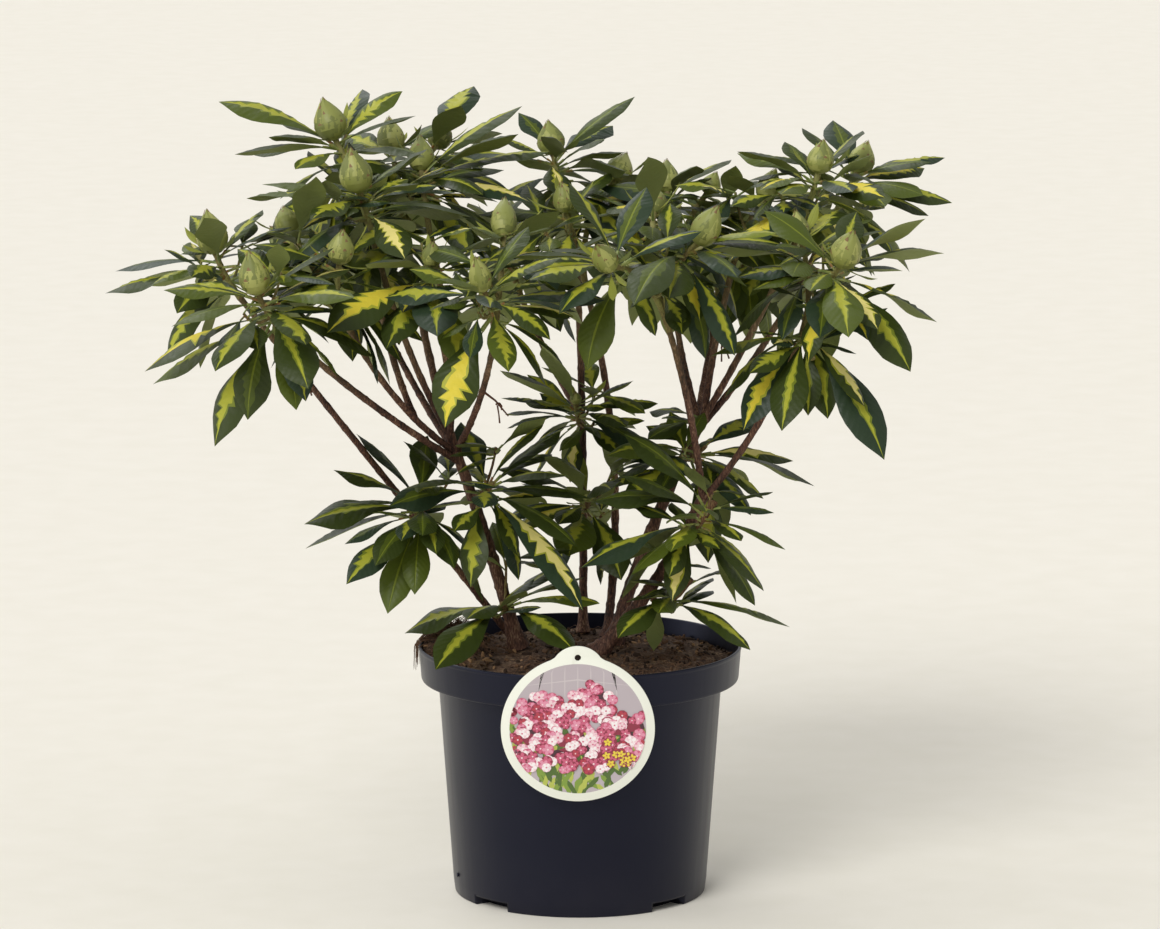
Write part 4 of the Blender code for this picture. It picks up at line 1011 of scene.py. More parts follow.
CROWN = {
    "foliage_far_left": dict(
        on="stem_left_thin",
        shoots=[
            shoot(
                (-253, -64, 469),
                bud=(32, 11),
                reaching=[
                    (-329, -70, 440),
                    (-293, -110, 449),
                    (-276, -118, 433),
                    (-273, -20, 488),
                    (-222, -20, 492),
                ],
            )
        ],
    ),
    "foliage_left_front": dict(
        on="bough_left_front",
        shoots=[
            shoot(
                (-219, -150, 453),
                leaves=8,
                bud=(32, 10.5),
                reaching=[
                    (-295, -165, 400),
                    (-292, -132, 386),
                    (-274, -200, 436),
                    (-244, -215, 408),
                    (-212, -225, 412),
                    (-249, -150, 346),
                    (-183, -215, 426),
                ],
            )
        ],
    ),
    "foliage_left_inner": dict(
        on="bough_left_inner",
        shoots=[
            shoot((-165, -98, 467), leaves=6, bud=(26, 9)),
            shoot((-203, -22, 476), leaves=5, bud=(26, 9)),
        ],
    ),
    "foliage_left_top": dict(
        on="bough_left_top",
        shoots=[
            shoot(
                (-175, 60, 534),
                bud=(32, 11.5),
                reaching=[
                    (-258, 72, 558),
                    (-219, 104, 550),
                    (-220, 24, 538),
                    (-157, 118, 562),
                    (-128, 74, 562),
                ],
            )
        ],
    ),
    "foliage_left_crest": dict(
        on="bough_left_crest",
        shoots=[
            shoot(
                (-154, -40, 509),
                leaves=8,
                bud=(33, 11.5),
                reaching=[
                    (-231, -60, 505),
                    (-184, -105, 496),
                    (-200, -98, 462),
                    (-120, -100, 468),
                ],
            )
        ],
    ),
    "foliage_left_rear": dict(
        on="bough_left_rear",
        shoots=[
            shoot((-136, 120, 518), leaves=5, bud=(28, 10)),
            shoot((-104, 150, 518), leaves=5, bud=(24, 9), reaching=[(-78, 206, 555)]),
        ],
    ),
    "foliage_left_upright": dict(
        on="bough_left_upright",
        shoots=[
            shoot(
                (-113, 58, 512),
                bud=(27, 9.5),
                reaching=[(-41, 62, 556), (-46, 18, 546), (-24, 44, 524), (-68, -2, 500)],
            )
        ],
    ),
    "foliage_left_near": dict(
        on="bough_left_near",
        shoots=[
            shoot(
                (-102, -92, 464),
                leaves=5,
                bud=(22, 7),
                reaching=[
                    (-172, -148, 424),
                    (-48, -142, 408),
                    (-50, -160, 452),
                    (-98, -172, 424),
                    (-132, -142, 412),
                ],
            )
        ],
    ),
    "foliage_centre_left": dict(
        on="bough_centre_left",
        shoots=[
            shoot(
                (-66, -150, 455),
                leaves=6,
                bud=(28, 7.5),
                reaching=[(-48, -192, 404), (-12, -165, 478), (-96, -200, 468), (-20, -180, 424)],
            ),
            shoot((-53, -58, 480), leaves=7, bud=(33, 9)),
        ],
    ),
    "foliage_middle_rear": dict(
        on="stem_middle_front",
        shoots=[
            shoot(
                (-20, 140, 514),
                leaves=6,
                bud=(26, 10),
                reaching=[(40, 152, 553), (-44, 172, 541), (-60, 120, 526), (18, 100, 528)],
            ),
            shoot((26, 172, 490), leaves=5, bud=(26, 10), reaching=[(66, 192, 503)]),
        ],
    ),
    "foliage_middle": dict(
        on="stem_middle_back",
        shoots=[shoot((-10, 46, 484), leaves=7, bud=(24, 8))],
    ),
    "foliage_centre_right": dict(
        on="bough_centre_right",
        shoots=[
            shoot(
                (20, -150, 470),
                leaves=6,
                bud=(31, 8.5),
                reaching=[(-32, -190, 470), (-14, -196, 444), (-52, -140, 476)],
            ),
            shoot((52, 6, 487), leaves=5, bud=(26, 9)),
            shoot(
                (82, -110, 482),
                leaves=5,
                bud=(33, 10),
                reaching=[(134, -130, 490), (60, -180, 452), (46, -205, 446), (106, -176, 466)],
            ),
        ],
    ),
    "foliage_right_front": dict(
        on="bough_right_front",
        shoots=[
            shoot(
                (180, -100, 465),
                leaves=5,
                bud=(32, 10.5),
                reaching=[
                    (245, -112, 426),
                    (208, -150, 428),
                    (190, -172, 418),
                    (164, -160, 420),
                    (238, -84, 494),
                    (252, -70, 468),
                    (118, -124, 450),
                ],
            ),
            shoot((153, -54, 477), leaves=5, bud=(22, 7)),
            shoot(
                (160, -92, 398),
                leaves=3,
                bud=None,
                reaching=[
                    (209, -122, 332),
                    (116, -122, 392),
                    (138, -134, 354),
                    (178, -112, 358),
                    (90, -84, 398),
                ],
            ),
        ],
    ),
    "foliage_right_inner": dict(
        on="bough_right_inner",
        shoots=[
            shoot((63, 110, 490), leaves=6, bud=(26, 9)),
            shoot((92, 84, 492), leaves=5, bud=(18, 7)),
        ],
    ),
    "foliage_right_upright": dict(
        on="bough_right_upright",
        shoots=[
            shoot(
                (132, 72, 489),
                leaves=6,
                bud=(26, 8.5),
                reaching=[(106, 30, 510), (84, 36, 494)],
            )
        ],
    ),
    "foliage_right_crest": dict(
        on="bough_right_crest",
        shoots=[
            shoot(
                (169, 28, 514),
                bud=(25, 9.5),
                reaching=[(111, 30, 527), (146, 66, 530), (126, -22, 506)],
            )
        ],
    ),
    "foliage_right_rear": dict(
        on="bough_right_rear",
        shoots=[
            shoot(
                (200, 92, 506),
                leaves=7,
                bud=(26, 9.5),
                reaching=[
                    (263, 104, 514),
                    (266, 66, 486),
                    (250, 132, 503),
                    (216, 22, 489),
                    (184, 150, 536),
                ],
            )
        ],
    ),
    "foliage_back_left": dict(
        on="bough_back_left",
        shoots=[
            shoot((-206, 104, 446), leaves=5),
            shoot((-142, 176, 452), leaves=6),
        ],
    ),
    "foliage_back_middle": dict(
        on="bough_back_middle",
        shoots=[shoot((-52, 206, 446), leaves=7)],
    ),
    "foliage_back_right": dict(
        on="bough_back_right",
        shoots=[
            shoot((72, 204, 440), leaves=5),
            shoot((144, 182, 446), leaves=6),
        ],
    ),
}

SIDE_SHOOTS = {
    "foliage_side_left": dict(
        on="stem_left_thin",
        at=0.38,
        shoots=[
            shoot(
                (-114, -38, 290),
                leaves=3,
                bud=None,
                reaching=[
                    (-166, -58, 290),
                    (-194, -40, 272),
                    (-163, -76, 236),
                    (-135, -56, 211),
                    (-100, -80, 258),
                    (-158, -12, 332),
                ],
            )
        ],
    ),
    "foliage_fork_left": dict(
        on="trunk_left",
        at=0.72,
        shoots=[
            shoot(
                (-62, -34, 300),
                leaves=3,
                bud=None,
                reaching=[
                    (2, -130, 228),
                    (-8, -84, 314),
                    (8, -50, 292),
                    (-26, -22, 340),
                    (-124, -84, 304),
                    (-4, -70, 262),
                    (-20, 30, 310),
                ],
            )
        ],
    ),
    "foliage_foot_left": dict(
        on="trunk_left",
        at=0.2,
        shoots=[
            shoot(
                (-55, -14, 210),
                leaves=2,
                bud=None,
                reaching=[
                    (-125, -2, 186),
                    (-100, -118, 184),
                    (-80, -70, 200),
                    (-4, -74, 188),
                    (14, -44, 216),
                ],
            )
        ],
    ),
    "foliage_middle_low": dict(
        on="stem_middle_back",
        at=0.58,
        shoots=[
            shoot(
                (-3, 44, 346),
                leaves=6,
                bud=(10, 4),
                lengths=0.8,
                reaching=[
                    (-57, 20, 372),
                    (38, 24, 364),
                    (-26, 10, 392),
                    (-52, 22, 330),
                    (33, -8, 336),
                    (56, 58, 342),
                ],
            )
        ],
    ),
    "foliage_middle_foot": dict(
        on="stem_middle_back",
        at=0.34,
        shoots=[
            shoot(
                (6, 40, 276),
                leaves=5,
                bud=(10, 4),
                lengths=0.85,
                reaching=[
                    (-60, 6, 306),
                    (-8, -24, 246),
                    (22, -36, 296),
                    (-54, 36, 262),
                    (60, 16, 300),
                    (-30, -30, 318),
                ],
            )
        ],
    ),
    "foliage_fork_right": dict(
        on="trunk_right_back",
        at=0.84,
        shoots=[
            shoot(
                (88, -2, 322),
                leaves=3,
                bud=None,
                reaching=[(165, -34, 298), (120, -44, 279), (18, -26, 318), (56, 38, 320)],
            )
        ],
    ),
    "foliage_side_right": dict(
        on="trunk_right",
        at=0.86,
        shoots=[
            shoot(
                (94, -62, 292),
                leaves=2,
                bud=None,
                reaching=[
                    (143, -84, 262),
                    (127, -116, 239),
                    (122, -82, 222),
                    (136, -34, 294),
                    (8, -64, 292),
                    (24, -96, 318),
                    (0, -100, 252),
                    (30, -60, 340),
                    (46, -104, 258),
                ],
            )
        ],
    ),
    "foliage_foot_right": dict(
        on="trunk_right",
        at=0.42,
        shoots=[
            shoot(
                (78, -34, 232),
                leaves=3,
                bud=None,
                lengths=0.85,
                reaching=[(148, -44, 199), (119, -80, 190), (44, -84, 228), (56, 20, 228)],
            )
        ],
    ),
}


# Centrelines
print(len(STEMS), "stems,", len(BOUGHS), "boughs,", len(CROWN) + len(SIDE_SHOOTS), "leafy masses")

# %% [markdown]
# ## Centrelines
#
# Each limb follows a curve with one bend in it, from its root, pulled towards a control point, to its
# end. Blender's own curves could hold these, but we also need to ask where a limb is and which way it
# heads at any share of its length, so a small class keeps them.

# %% Follow a limb


class Arc:
    """A centreline from start to end, pulled towards control, with a radius at either end."""

    def __init__(self, start, control, end, radii):
        self.start, self.control, self.end = Vector(start), Vector(control), Vector(end)
        self.radii = radii
        steps = 24
        self.length = sum(
            (self.at((i + 1) / steps) - self.at(i / steps)).length for i in range(steps)
        )

    def at(self, share):
        rest = 1 - share
        return self.start * rest**2 + self.control * (2 * share * rest) + self.end * share**2

    def heading(self, share):
        step = (self.control - self.start) * (1 - share) + (self.end - self.control) * share
        return step.normalized()

    def radius(self, share):
        return self.radii[0] + (self.radii[1] - self.radii[0]) * share


def bowed(start, end, bow, radii):
    """An arc whose middle is pushed aside by bow."""
    start, end = Vector(start), Vector(end)
    return Arc(start, (start + end) / 2 + 2 * Vector(bow), end, radii)


def square_to(heading):
    """Two directions square to heading and to each other."""
    side = heading.orthogonal().normalized()
    return side, heading.cross(side).normalized()


def limb_arcs():
    """Every stem's and bough's centreline by name."""
    arcs = {}
    for name, stem in STEMS.items():
        foot = (*stem["foot"], SOIL_LEVEL + CLEAR)
        arcs[name] = bowed(foot, stem["top"], stem["bow"], stem["radii"])
    for name, bough in BOUGHS.items():
        fork = arcs[bough["on"]].at(bough["at"])
        arcs[name] = bowed(fork, bough["end"], bough["bow"], bough.get("radii", BOUGH_RADII))
    return arcs


def twigs_of(mass, arcs):
    """A mass's twigs: straight on from its limb's end, or out of the limb's side."""
    limb = arcs[mass["on"]]
    place = mass.get("at", 1.0)
    away = limb.heading(place)
    start = limb.end + away * CLEAR
    if "at" in mass:
        away = Vector(mass["shoots"][0]["tip"]) - limb.at(place)
        away = (away - limb.heading(place) * away.dot(limb.heading(place))).normalized()
        start = limb.at(place) + away * (limb.radius(place) + 2 * CLEAR)
    twigs = []
    for order, spec in enumerate(mass["shoots"]):
        tip = Vector(spec["tip"])
        control = start + away * ((tip - start).length / 2)
        root = start + away * (TWIG_SUNK * order)
        thick, thin = TWIG_RADII
        twigs.append(Arc(root, control, tip, (thick - TWIG_THINNER * order, thin)))
    return twigs


arcs = limb_arcs()
masses = {**CROWN, **SIDE_SHOOTS}
twigs = {name: twigs_of(mass, arcs) for name, mass in masses.items()}
print(f"the tallest stem is {max(arcs[name].length for name in STEMS):.0f} mm long")

# %% [markdown]
# ## Bark
#
# The bark of a young shrub is thin. Old leaf scars swell it every two or three centimetres, and the
# yearly growth rings show as slight knuckles. Sweeping a circle along each limb would give a pipe, so
# every ring of points is swelled at the scars, roughened by noise and, at the foot, flared into the
# soil. All stems and boughs become one mesh, because they share one finish.

# %% Grow the limbs
LIMB_SIDES = 16
SAMPLE_STEP = 2.4  # mm along a limb
SCAR_STEP = 21.0  # mm between leaf scars
SCAR_SWELL = 0.13
BARK_RELIEF = 0.10  # share of the radius


def sweep(shape, arc, radius_at, sides, step, relief, seed, blunt=0.4):
    """Rings of points along an arc, joined into a closed limb. radius_at(mm along) gives its size."""
    count = max(3, round(arc.length / step))
    side, other = square_to(arc.heading(0))
    rings = []
    for i in range(count + 1):
        share = i / count
        heading = arc.heading(share)
        side = (side - heading * side.dot(heading)).normalized()
        other = heading.cross(side)
        centre = arc.at(share)
        radius = radius_at(share * arc.length)
        ring = []
        for k in range(sides):
            turn = math.tau * k / sides
            out = side * math.cos(turn) + other * math.sin(turn)
            sample = (centre + out * radius) / 3.2 + Vector((seed, 0, 0))
            rough = 1 + relief * noise.noise(Vector((sample.x, sample.y, sample.z * 0.35)))
            rough += relief * 0.6 * noise.noise(sample * 2.6)
            ring.append(shape.verts.new(centre + out * radius * rough))
        rings.append(ring)
    for near, far in zip(rings, rings[1:]):
        for k in range(sides):
            n = (k + 1) % sides
            shape.faces.new((near[k], near[n], far[n], far[k]))
    for ring, heading, centre in (
        (rings[0], -arc.heading(0), arc.start),
        (rings[-1], arc.heading(1), arc.end),
    ):
        middle = shape.verts.new(centre + heading * blunt * radius_at(0))
        for k in range(sides):
            shape.faces.new((ring[k], ring[(k + 1) % sides], middle))


def limb_radius(name, arc):
    """How thick a limb is, from its taper, its flare at the soil and its scars."""
    dice = random.Random(name)
    first = dice.uniform(0, SCAR_STEP)
    is_stem = name in STEMS

    def radius_at(along):
        radius = arc.radius(along / arc.length)
        if is_stem:
            radius *= 1 + ROOT_FLARE * math.exp(-along / (2.2 * arc.radii[0]))
        apart = (along + first) % SCAR_STEP - SCAR_STEP / 2
        radius *= 1 + SCAR_SWELL * math.exp(-((apart / 1.9) ** 2))
        if is_stem and along > arc.length - 6:
            radius *= 1 + 0.12 * (1 - (arc.length - along) / 6)
        return radius

    return radius_at


limb_shape = bmesh.new()
for limb_number, (limb_name, arc) in enumerate(arcs.items()):
    relief = BARK_RELIEF * (1.5 if limb_name.startswith("trunk") else 1)
    sweep(limb_shape, arc, limb_radius(limb_name, arc), LIMB_SIDES, SAMPLE_STEP, relief, limb_number * 7)
limbs = object_from("bark_limbs", limb_shape, [], smooth_degrees=50)
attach(limbs, "root")
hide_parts(*STEMS, *BOUGHS)
print(f"{len(arcs)} limbs, {triangles(limbs)} triangles")

# %% [markdown]
# Close to, the bark is red-brown with fine grey-tan cracks that run along the stem. It darkens where
# it is damp near the soil, and turns green on this year's wood high in the crown. A wave or a brick
# pattern would look regular. Noise stretched along z gives long cracks, and a second, wide noise
# breaks up the colour into patches, some of them pale where the outer skin has flaked off.

# %% Finish the bark
CRACK_WIDTH = 0.9
PATCH_SIZE = 13
YOUNG_WOOD = (0.36, 0.47)  # metres above the floor, from brown to green


def bark_finish(name, stops, green_from, green_to, green):
    made, tree, shader = start_material(name, "#6b4034", 0.72, Specular_IOR_Level=0.35)
    place = add_node(tree, "ShaderNodeTexCoord", out="Object")
    along = add_node(tree, "ShaderNodeMapping", {"Vector": place, "Scale": (1, 1, 0.22)})
    cracks = add_node(
        tree, "ShaderNodeTexNoise", {"Vector": along, "Scale": per_mm(CRACK_WIDTH), "Detail": 5}
    )
    patches = add_node(
        tree, "ShaderNodeTexNoise", {"Vector": along, "Scale": per_mm(PATCH_SIZE), "Detail": 4}
    )
    both = add_node(
        tree, "ShaderNodeMath", {0: patches, 1: 0.72, 2: cracks}, operation="MULTIPLY_ADD"
    )
    halved = add_node(tree, "ShaderNodeMath", {0: both, 1: 0.58}, operation="MULTIPLY")
    brown = add_node(tree, "ShaderNodeValToRGB", {0: halved}, stops=stops)
    height = add_node(tree, "ShaderNodeSeparateXYZ", {0: place}, out="Z")
    youth = add_node(
        tree,
        "ShaderNodeMapRange",
        {"Value": height, "From Min": green_from, "From Max": green_to, "To Max": 0.75},
    )
    blotched = add_node(tree, "ShaderNodeMath", {0: youth, 1: patches}, operation="MULTIPLY")
    colour = add_node(
        tree,
        "ShaderNodeMix",
        {"Factor": blotched, 6: brown, 7: linear(green)},
        out=2,
        data_type="RGBA",
    )
    tree.links.new(colour, shader.inputs["Base Color"])
    rough = add_node(tree, "ShaderNodeMapRange", {"Value": cracks, "To Min": 0.55, "To Max": 0.9})
    tree.links.new(rough, shader.inputs["Roughness"])
    cracked = add_node(
        tree, "ShaderNodeBump", {"Height": both, "Distance": 0.5 * MM, "Strength": 0.85}
    )
    tree.links.new(cracked, shader.inputs["Normal"])
    return made


OLD_BARK = [(0.36, "#241814"), (0.47, "#4e342a"), (0.56, "#6e4c3c"), (0.66, "#a0836a")]
bark = bark_finish("cracked_shrub_bark", OLD_BARK, *YOUNG_WOOD, "#80844a")
limbs.data.materials.append(bark)
print("bark finished")

# %% [markdown]
# ## Twigs and side twigs
#
# Above each bough the wood splits into shoots as thick as a matchstick. The solids stop at one
# straight-sided twig per shoot. A real one also carries short side twigs, each with a few small
# leaves, so we add some within the same reach, by the same rule: they leave the twig at the golden
# angle and bend upward.

# %% Grow the twigs
TWIG_SIDES = 10
TWIG_COLLAR = 1.3  # the twig swells by this under its bud
SIDE_TWIG_RADII = (1.15, 0.85)
SIDE_TWIG_REACH = (20, 32)  # mm
SIDE_TWIGS = 2


def twig_radius(twig):
    def radius_at(along):
        radius = twig.radius(along / twig.length)
        left = twig.length - along
        radius *= 1 + (TWIG_COLLAR - 1) * math.exp(-((left / 3.5) ** 2))
        return radius * (1 + 0.1 * math.exp(-((((along + 5) % 9 - 4.5) / 1.1) ** 2)))

    return radius_at


def side_twigs_of(name, order, twig):
    """Short twigs that leave a shoot at the golden angle and bend upward."""
    dice = random.Random(f"{name} {order} side twigs")
    found = []
    for number in range(SIDE_TWIGS):
        share = dice.uniform(0.3, 0.62)
        root = twig.at(share)
        side, other = square_to(twig.heading(share))
        turn = number * GOLDEN_ANGLE + dice.uniform(0, 1.5)
        level = side * math.cos(turn) + other * math.sin(turn)
        reach = dice.uniform(*SIDE_TWIG_REACH)
        control = root + level * reach * 0.45
        tip = root + level * reach * 0.75 + UP * reach * 0.55
        found.append(Arc(root, control, tip, SIDE_TWIG_RADII))
    return found


twig_shape = bmesh.new()
side_twigs = {}
for mass_number, name in enumerate(masses):
    side_twigs[name] = []
    for order, (spec, twig) in enumerate(zip(masses[name]["shoots"], twigs[name])):
        seed = mass_number * 3 + order
        sweep(twig_shape, twig, twig_radius(twig), TWIG_SIDES, 1.8, 0.12, seed)
        grown = side_twigs_of(name, order, twig)
        side_twigs[name].append(grown)
        for small in grown:
            seed += 50
            sweep(twig_shape, small, twig_radius(small), 7, 2.5, 0.1, seed)
YOUNG_BARK = [(0.36, "#40291e"), (0.47, "#684733"), (0.56, "#7c6c40"), (0.68, "#969252")]
young_bark = bark_finish("smooth_young_bark", YOUNG_BARK, 0.3, 0.5, "#93a057")
twig_piece = object_from("twigs", twig_shape, [young_bark], smooth_degrees=60)
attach(twig_piece, "root")
print(f"{sum(map(len, twigs.values()))} twigs, {triangles(twig_piece)} triangles")

# %% [markdown]
# Where last year's flowers fell, dry brown stalks stay behind: a thin stem that forks once or twice
# and ends in a hooked tip. They hang under the leaves on both sides and show against the light.

# %% Leave the dry stalks
DRY_STALKS = {
    # name: (limb it grows from, share along it, how far it reaches)
    "stalk_right": ("bough_right_front", 0.86, (18, -14, -20)),
    "stalk_right_inner": ("bough_right_front", 0.7, (-4, -18, 14)),
    "stalk_left": ("bough_left_front", 0.8, (-22, -8, -22)),
    "stalk_middle": ("bough_centre_left", 0.62, (18, -10, -16)),
    "stalk_back": ("bough_back_right", 0.8, (14, 12, -14)),
}


def dry_stalk(name, limb, share, reach):
    """A thin dead stem, with three hooked side stalks."""
    dice = random.Random(name)
    start = arcs[limb].at(share)
    end = start + Vector(reach)
    ways = [[(start, 1.3), ((start + end) / 2 + UP * 2, 1.0), (end, 0.7)]]
    for _ in range(3):
        root = start.lerp(end, dice.uniform(0.4, 0.95))
        out = Vector([dice.uniform(-1, 1) for _ in range(3)]).normalized()
        ways.append([(root, 0.9), (root + out * 6 - UP, 0.7), (root + out * 9 - UP * 4, 0.9)])
    return ways


dead_wood, tree, shader = start_material("dead_flower_stalk", "#5d3b2c", 0.85)
place = add_node(tree, "ShaderNodeTexCoord", out="Object")
shrivel = add_node(tree, "ShaderNodeTexNoise", {"Vector": place, "Scale": per_mm(1.2), "Detail": 3})
shrivelled = add_node(tree, "ShaderNodeBump", {"Height": shrivel, "Distance": 0.4 * MM})
tree.links.new(shrivelled, shader.inputs["Normal"])
stalk_ways = [way for name, facts in DRY_STALKS.items() for way in dry_stalk(name, *facts)]
stalks = strands("dry_stalks", stalk_ways, 0.75, dead_wood, sides=8)
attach(stalks, "root")
print(f"{len(stalk_ways)} dry stalks, {triangles(stalks)} triangles")

# %% [markdown]
# ## Leaves
#
# The leaves repeat the solids' own rule, word for word, so each stands where a plain one stood. That
# rule tried up to eight places for each leaf and kept the first with room round it. Here we don't
# judge the room again. We look which of the eight tries ends in a corner of the solid that stands in
# for the mass, and take that one.

# %% Find where each leaf went


def leaf_between(twig, back, tip, dice, arch):
    """A leaf from the twig's axis, back millimetres under its tip, to a far tip."""
    root = twig.at(max(LOWEST_ROOT, 1 - back / twig.length))
    reach = tip - root
    outward = Vector((reach.x, reach.y, 0))
    return dict(
        root=root,
        tip=tip,
        outward=outward.normalized() if outward.length > 1 else Vector((0, -1, 0)),
        width=min(reach.length, LEAF_WIDEST) * LEAF_WIDTH * dice.uniform(*WIDTH_SPREAD),
        arch=arch,
        roll=math.radians(dice.uniform(-LEAF_ROLL, LEAF_ROLL)),
    )


def reaching_leaf(name, number, attempt, spec, twig):
    """A leaf to one of the shoot's far tips. Each later attempt moves the tip a little further."""
    dice = random.Random(f"{name} far {number} {attempt}")
    stray = FAR_STRAY * attempt
    tip = Vector(spec["reaching"][number])
    tip += Vector([dice.uniform(-stray, stray) for _ in range(3)])
    back = dice.uniform(*FAR_BACK) + FAR_DROP * max(0.0, twig.end.z - tip.z)
    return leaf_between(twig, back, tip, dice, dice.uniform(*FAR_ARCH))


def whorled_leaf(name, number, attempt, spec, twig):
    """One of the whorl under the bud: young ones high and rising, old ones low and drooping."""
    dice = random.Random(f"{name} whorl {number} {attempt}")
    age = number / max(1, spec["leaves"] - 1)
    turn = number * GOLDEN_ANGLE + dice.uniform(-WHORL_TURN, WHORL_TURN)
    turn += attempt * dice.choice((-RETRY_TURN, RETRY_TURN))
    rise = WHORL_RISE - WHORL_FALL * age + dice.uniform(-RISE_SPREAD, RISE_SPREAD)
    rise = math.radians(rise - RETRY_FALL * attempt)
    length = LEAF_LENGTH * spec["lengths"] * (0.76 + 0.32 * math.sin(math.pi * (0.1 + 0.75 * age)))
    length *= dice.uniform(0.88, 1.08) * (1 - RETRY_SHORTER * attempt)
    axis = (twig.heading(1) * (1 - WHORL_UPRIGHT) + UP * WHORL_UPRIGHT).normalized()
    side, other = square_to(axis)
    level = side * math.cos(turn) + other * math.sin(turn)
    back = WHORL_BACK + WHORL_DEPTH * age * min(1.0, twig.length / SHORT_TWIG)
    start = twig.at(max(LOWEST_ROOT, 1 - back / twig.length))
    tip = start + (level * math.cos(rise) + axis * math.sin(rise)) * length
    return leaf_between(twig, back, tip, dice, 0.05 + 0.06 * age)


SAME_PLACE = 0.08  # mm between a try's tip and a corner of the solid
SPECIAL_LOOKS = {
    # a few far leaves whose pattern the eye goes to first: pattern and outer colour
    ("foliage_fork_left 0", 0): ("bright", "leaf_dark_bluish"),
    ("foliage_right_front 0", 0): ("bright", "leaf_dark"),
    ("foliage_right_front 2", 0): ("streaked", "leaf_dark_bluish"),
    ("foliage_centre_right 2", 0): ("pale", "leaf_fresh"),
    ("foliage_left_front 0", 0): ("bright", "leaf_dark"),
    ("foliage_left_front 0", 1): ("flamed", "leaf_mid"),
    ("foliage_left_crest 0", 0): ("bright", "leaf_mid"),
}


def corners_of(name):
    """The corners of a mass's solid, ready to be searched, in millimetres."""
    solid = bpy.data.objects[name]
    places = [solid.matrix_world @ point.co / MM for point in solid.data.vertices]
    tree = KDTree(len(places))
    for number, point in enumerate(places):
        tree.insert(point, number)
    tree.balance()
    return tree


leaves = []
missing = 0
for name, mass in masses.items():
    tree = corners_of(name)
    for order, (spec, twig) in enumerate(zip(mass["shoots"], twigs[name])):
        for rule, count in ((reaching_leaf, len(spec["reaching"])), (whorled_leaf, spec["leaves"])):
            for number in range(count):
                tries = [rule(f"{name} {order}", number, i, spec, twig) for i in range(LEAF_TRIES)]
                kept = [leaf for leaf in tries if tree.find(leaf["tip"])[2] < SAME_PLACE]
                if kept:
                    age = number / max(1, count - 1) if rule is whorled_leaf else 0.6
                    key = f"{name} {order}"
                    look = SPECIAL_LOOKS.get((key, number)) if rule is reaching_leaf else None
                    leaves.append(dict(kept[0], spray=key, age=age, kind="grown", look=look))
                missing += not kept
print(f"{len(leaves)} leaves found on the solids, {missing} places left empty")

# %% [markdown]
# A leaf of this shrub is long, leathery and widest past its middle. Its midrib lies in a groove, its
# edges hang, and it twists a little. A flat card with a picture would give none of that, so each leaf
# is a narrow grid: rows of points along an arched midrib, pulled in at either end by its outline.

# %% Shape a leaf
BLADE_OUTLINE = (
    # share of the leaf's length, share of its full width
    (0.0, 0.05),
    (0.13, 0.05),
    (0.2, 0.2),
    (0.3, 0.5),
    (0.42, 0.84),
    (0.52, 0.99),
    (0.61, 0.99),
    (0.74, 0.82),
    (0.85, 0.5),
    (0.94, 0.19),
    (1.0, 0.0),
)
GROWN_ROWS = 21  # of points along a leaf that the solids have
ADDED_ROWS = 14  # and along the smaller ones added here
BLADE_FOOT = 0.13  # where the stalk ends and the blade starts
VEIN_SLANT = 0.1  # how much nearer the tip a row's edges lie than its middle
BLADE_WIDTH = 0.88  # against the solid's leaf, which is a plain diamond
GROOVE = 0.06  # depth of the midrib's groove, share of the width
EDGE_DROOP = 0.17  # how far the edges hang, share of the width
BLADE_THICK = 0.9  # mm


def blade_width(share):
    """The blade's width at a share of its length, as a share of its widest."""
    for (low, thin), (high, thick) in zip(BLADE_OUTLINE, BLADE_OUTLINE[1:]):
        if share <= high:
            return thin + (thick - thin) * (share - low) / (high - low)
    return 0.0


def leaf_frame(leaf):
    """The leaf's midrib as an arc, and its sideways direction."""
    root, tip = leaf["root"], leaf["tip"]
    length = (tip - root).length
    chord = (tip - root) / length
    side = chord.cross(UP)
    if side.length < STEEP:
        side = leaf["outward"].cross(UP)
    side = (side - chord * side.dot(chord)).normalized()
    lift = side.cross(chord)
    control = (root + tip) / 2 + lift * (2 * leaf["arch"] * length)
    return Arc(root, control, tip, (0, 0)), side


def leaf_points(leaf, flames):
    """The blade's points, row by row. flames gives, for each row, where its inner and outer colours
    end on either side, as shares of the half width. Also their places on a leaf laid flat."""
    midrib, side = leaf_frame(leaf)
    points, flat = [], []
    for row, (left_outer, left_inner, right_inner, right_outer) in enumerate(flames):
        share = BLADE_FOOT + (1 - BLADE_FOOT) * row / (len(flames) - 1)
        width = blade_width(share)
        half = leaf["width"] * BLADE_WIDTH * width / 2
        lean = VEIN_SLANT * math.sin(math.pi * share)
        for across in (-1.0, -left_outer, -left_inner, 0.0, right_inner, right_outer, 1.0, None):
            below = across is None
            across = across or 0.0
            along = min(1.0, share + lean * abs(across) ** 0.7)
            above = side.cross(midrib.heading(along)).normalized()
            twist = leaf["roll"] + leaf.get("twist", 0.0) * (along - 0.4)
            level = side * math.cos(twist) + above * math.sin(twist)
            above = above * math.cos(twist) - side * math.sin(twist)
            groove = GROOVE * (1 - math.exp(-((across / 0.22) ** 2)))
            ripple = leaf.get("wave", 0.0) * math.sin(9 * along + 2 * across) * abs(across)
            rise = 2 * half * (groove - EDGE_DROOP * across**2 + ripple)
            rise -= BLADE_THICK * (1 - share) ** 0.5 if below else 0
            points.append(midrib.at(along) + level * (half * across) + above * rise)
            flat.append((across * width / 2 + 0.5, along))
    return points, flat


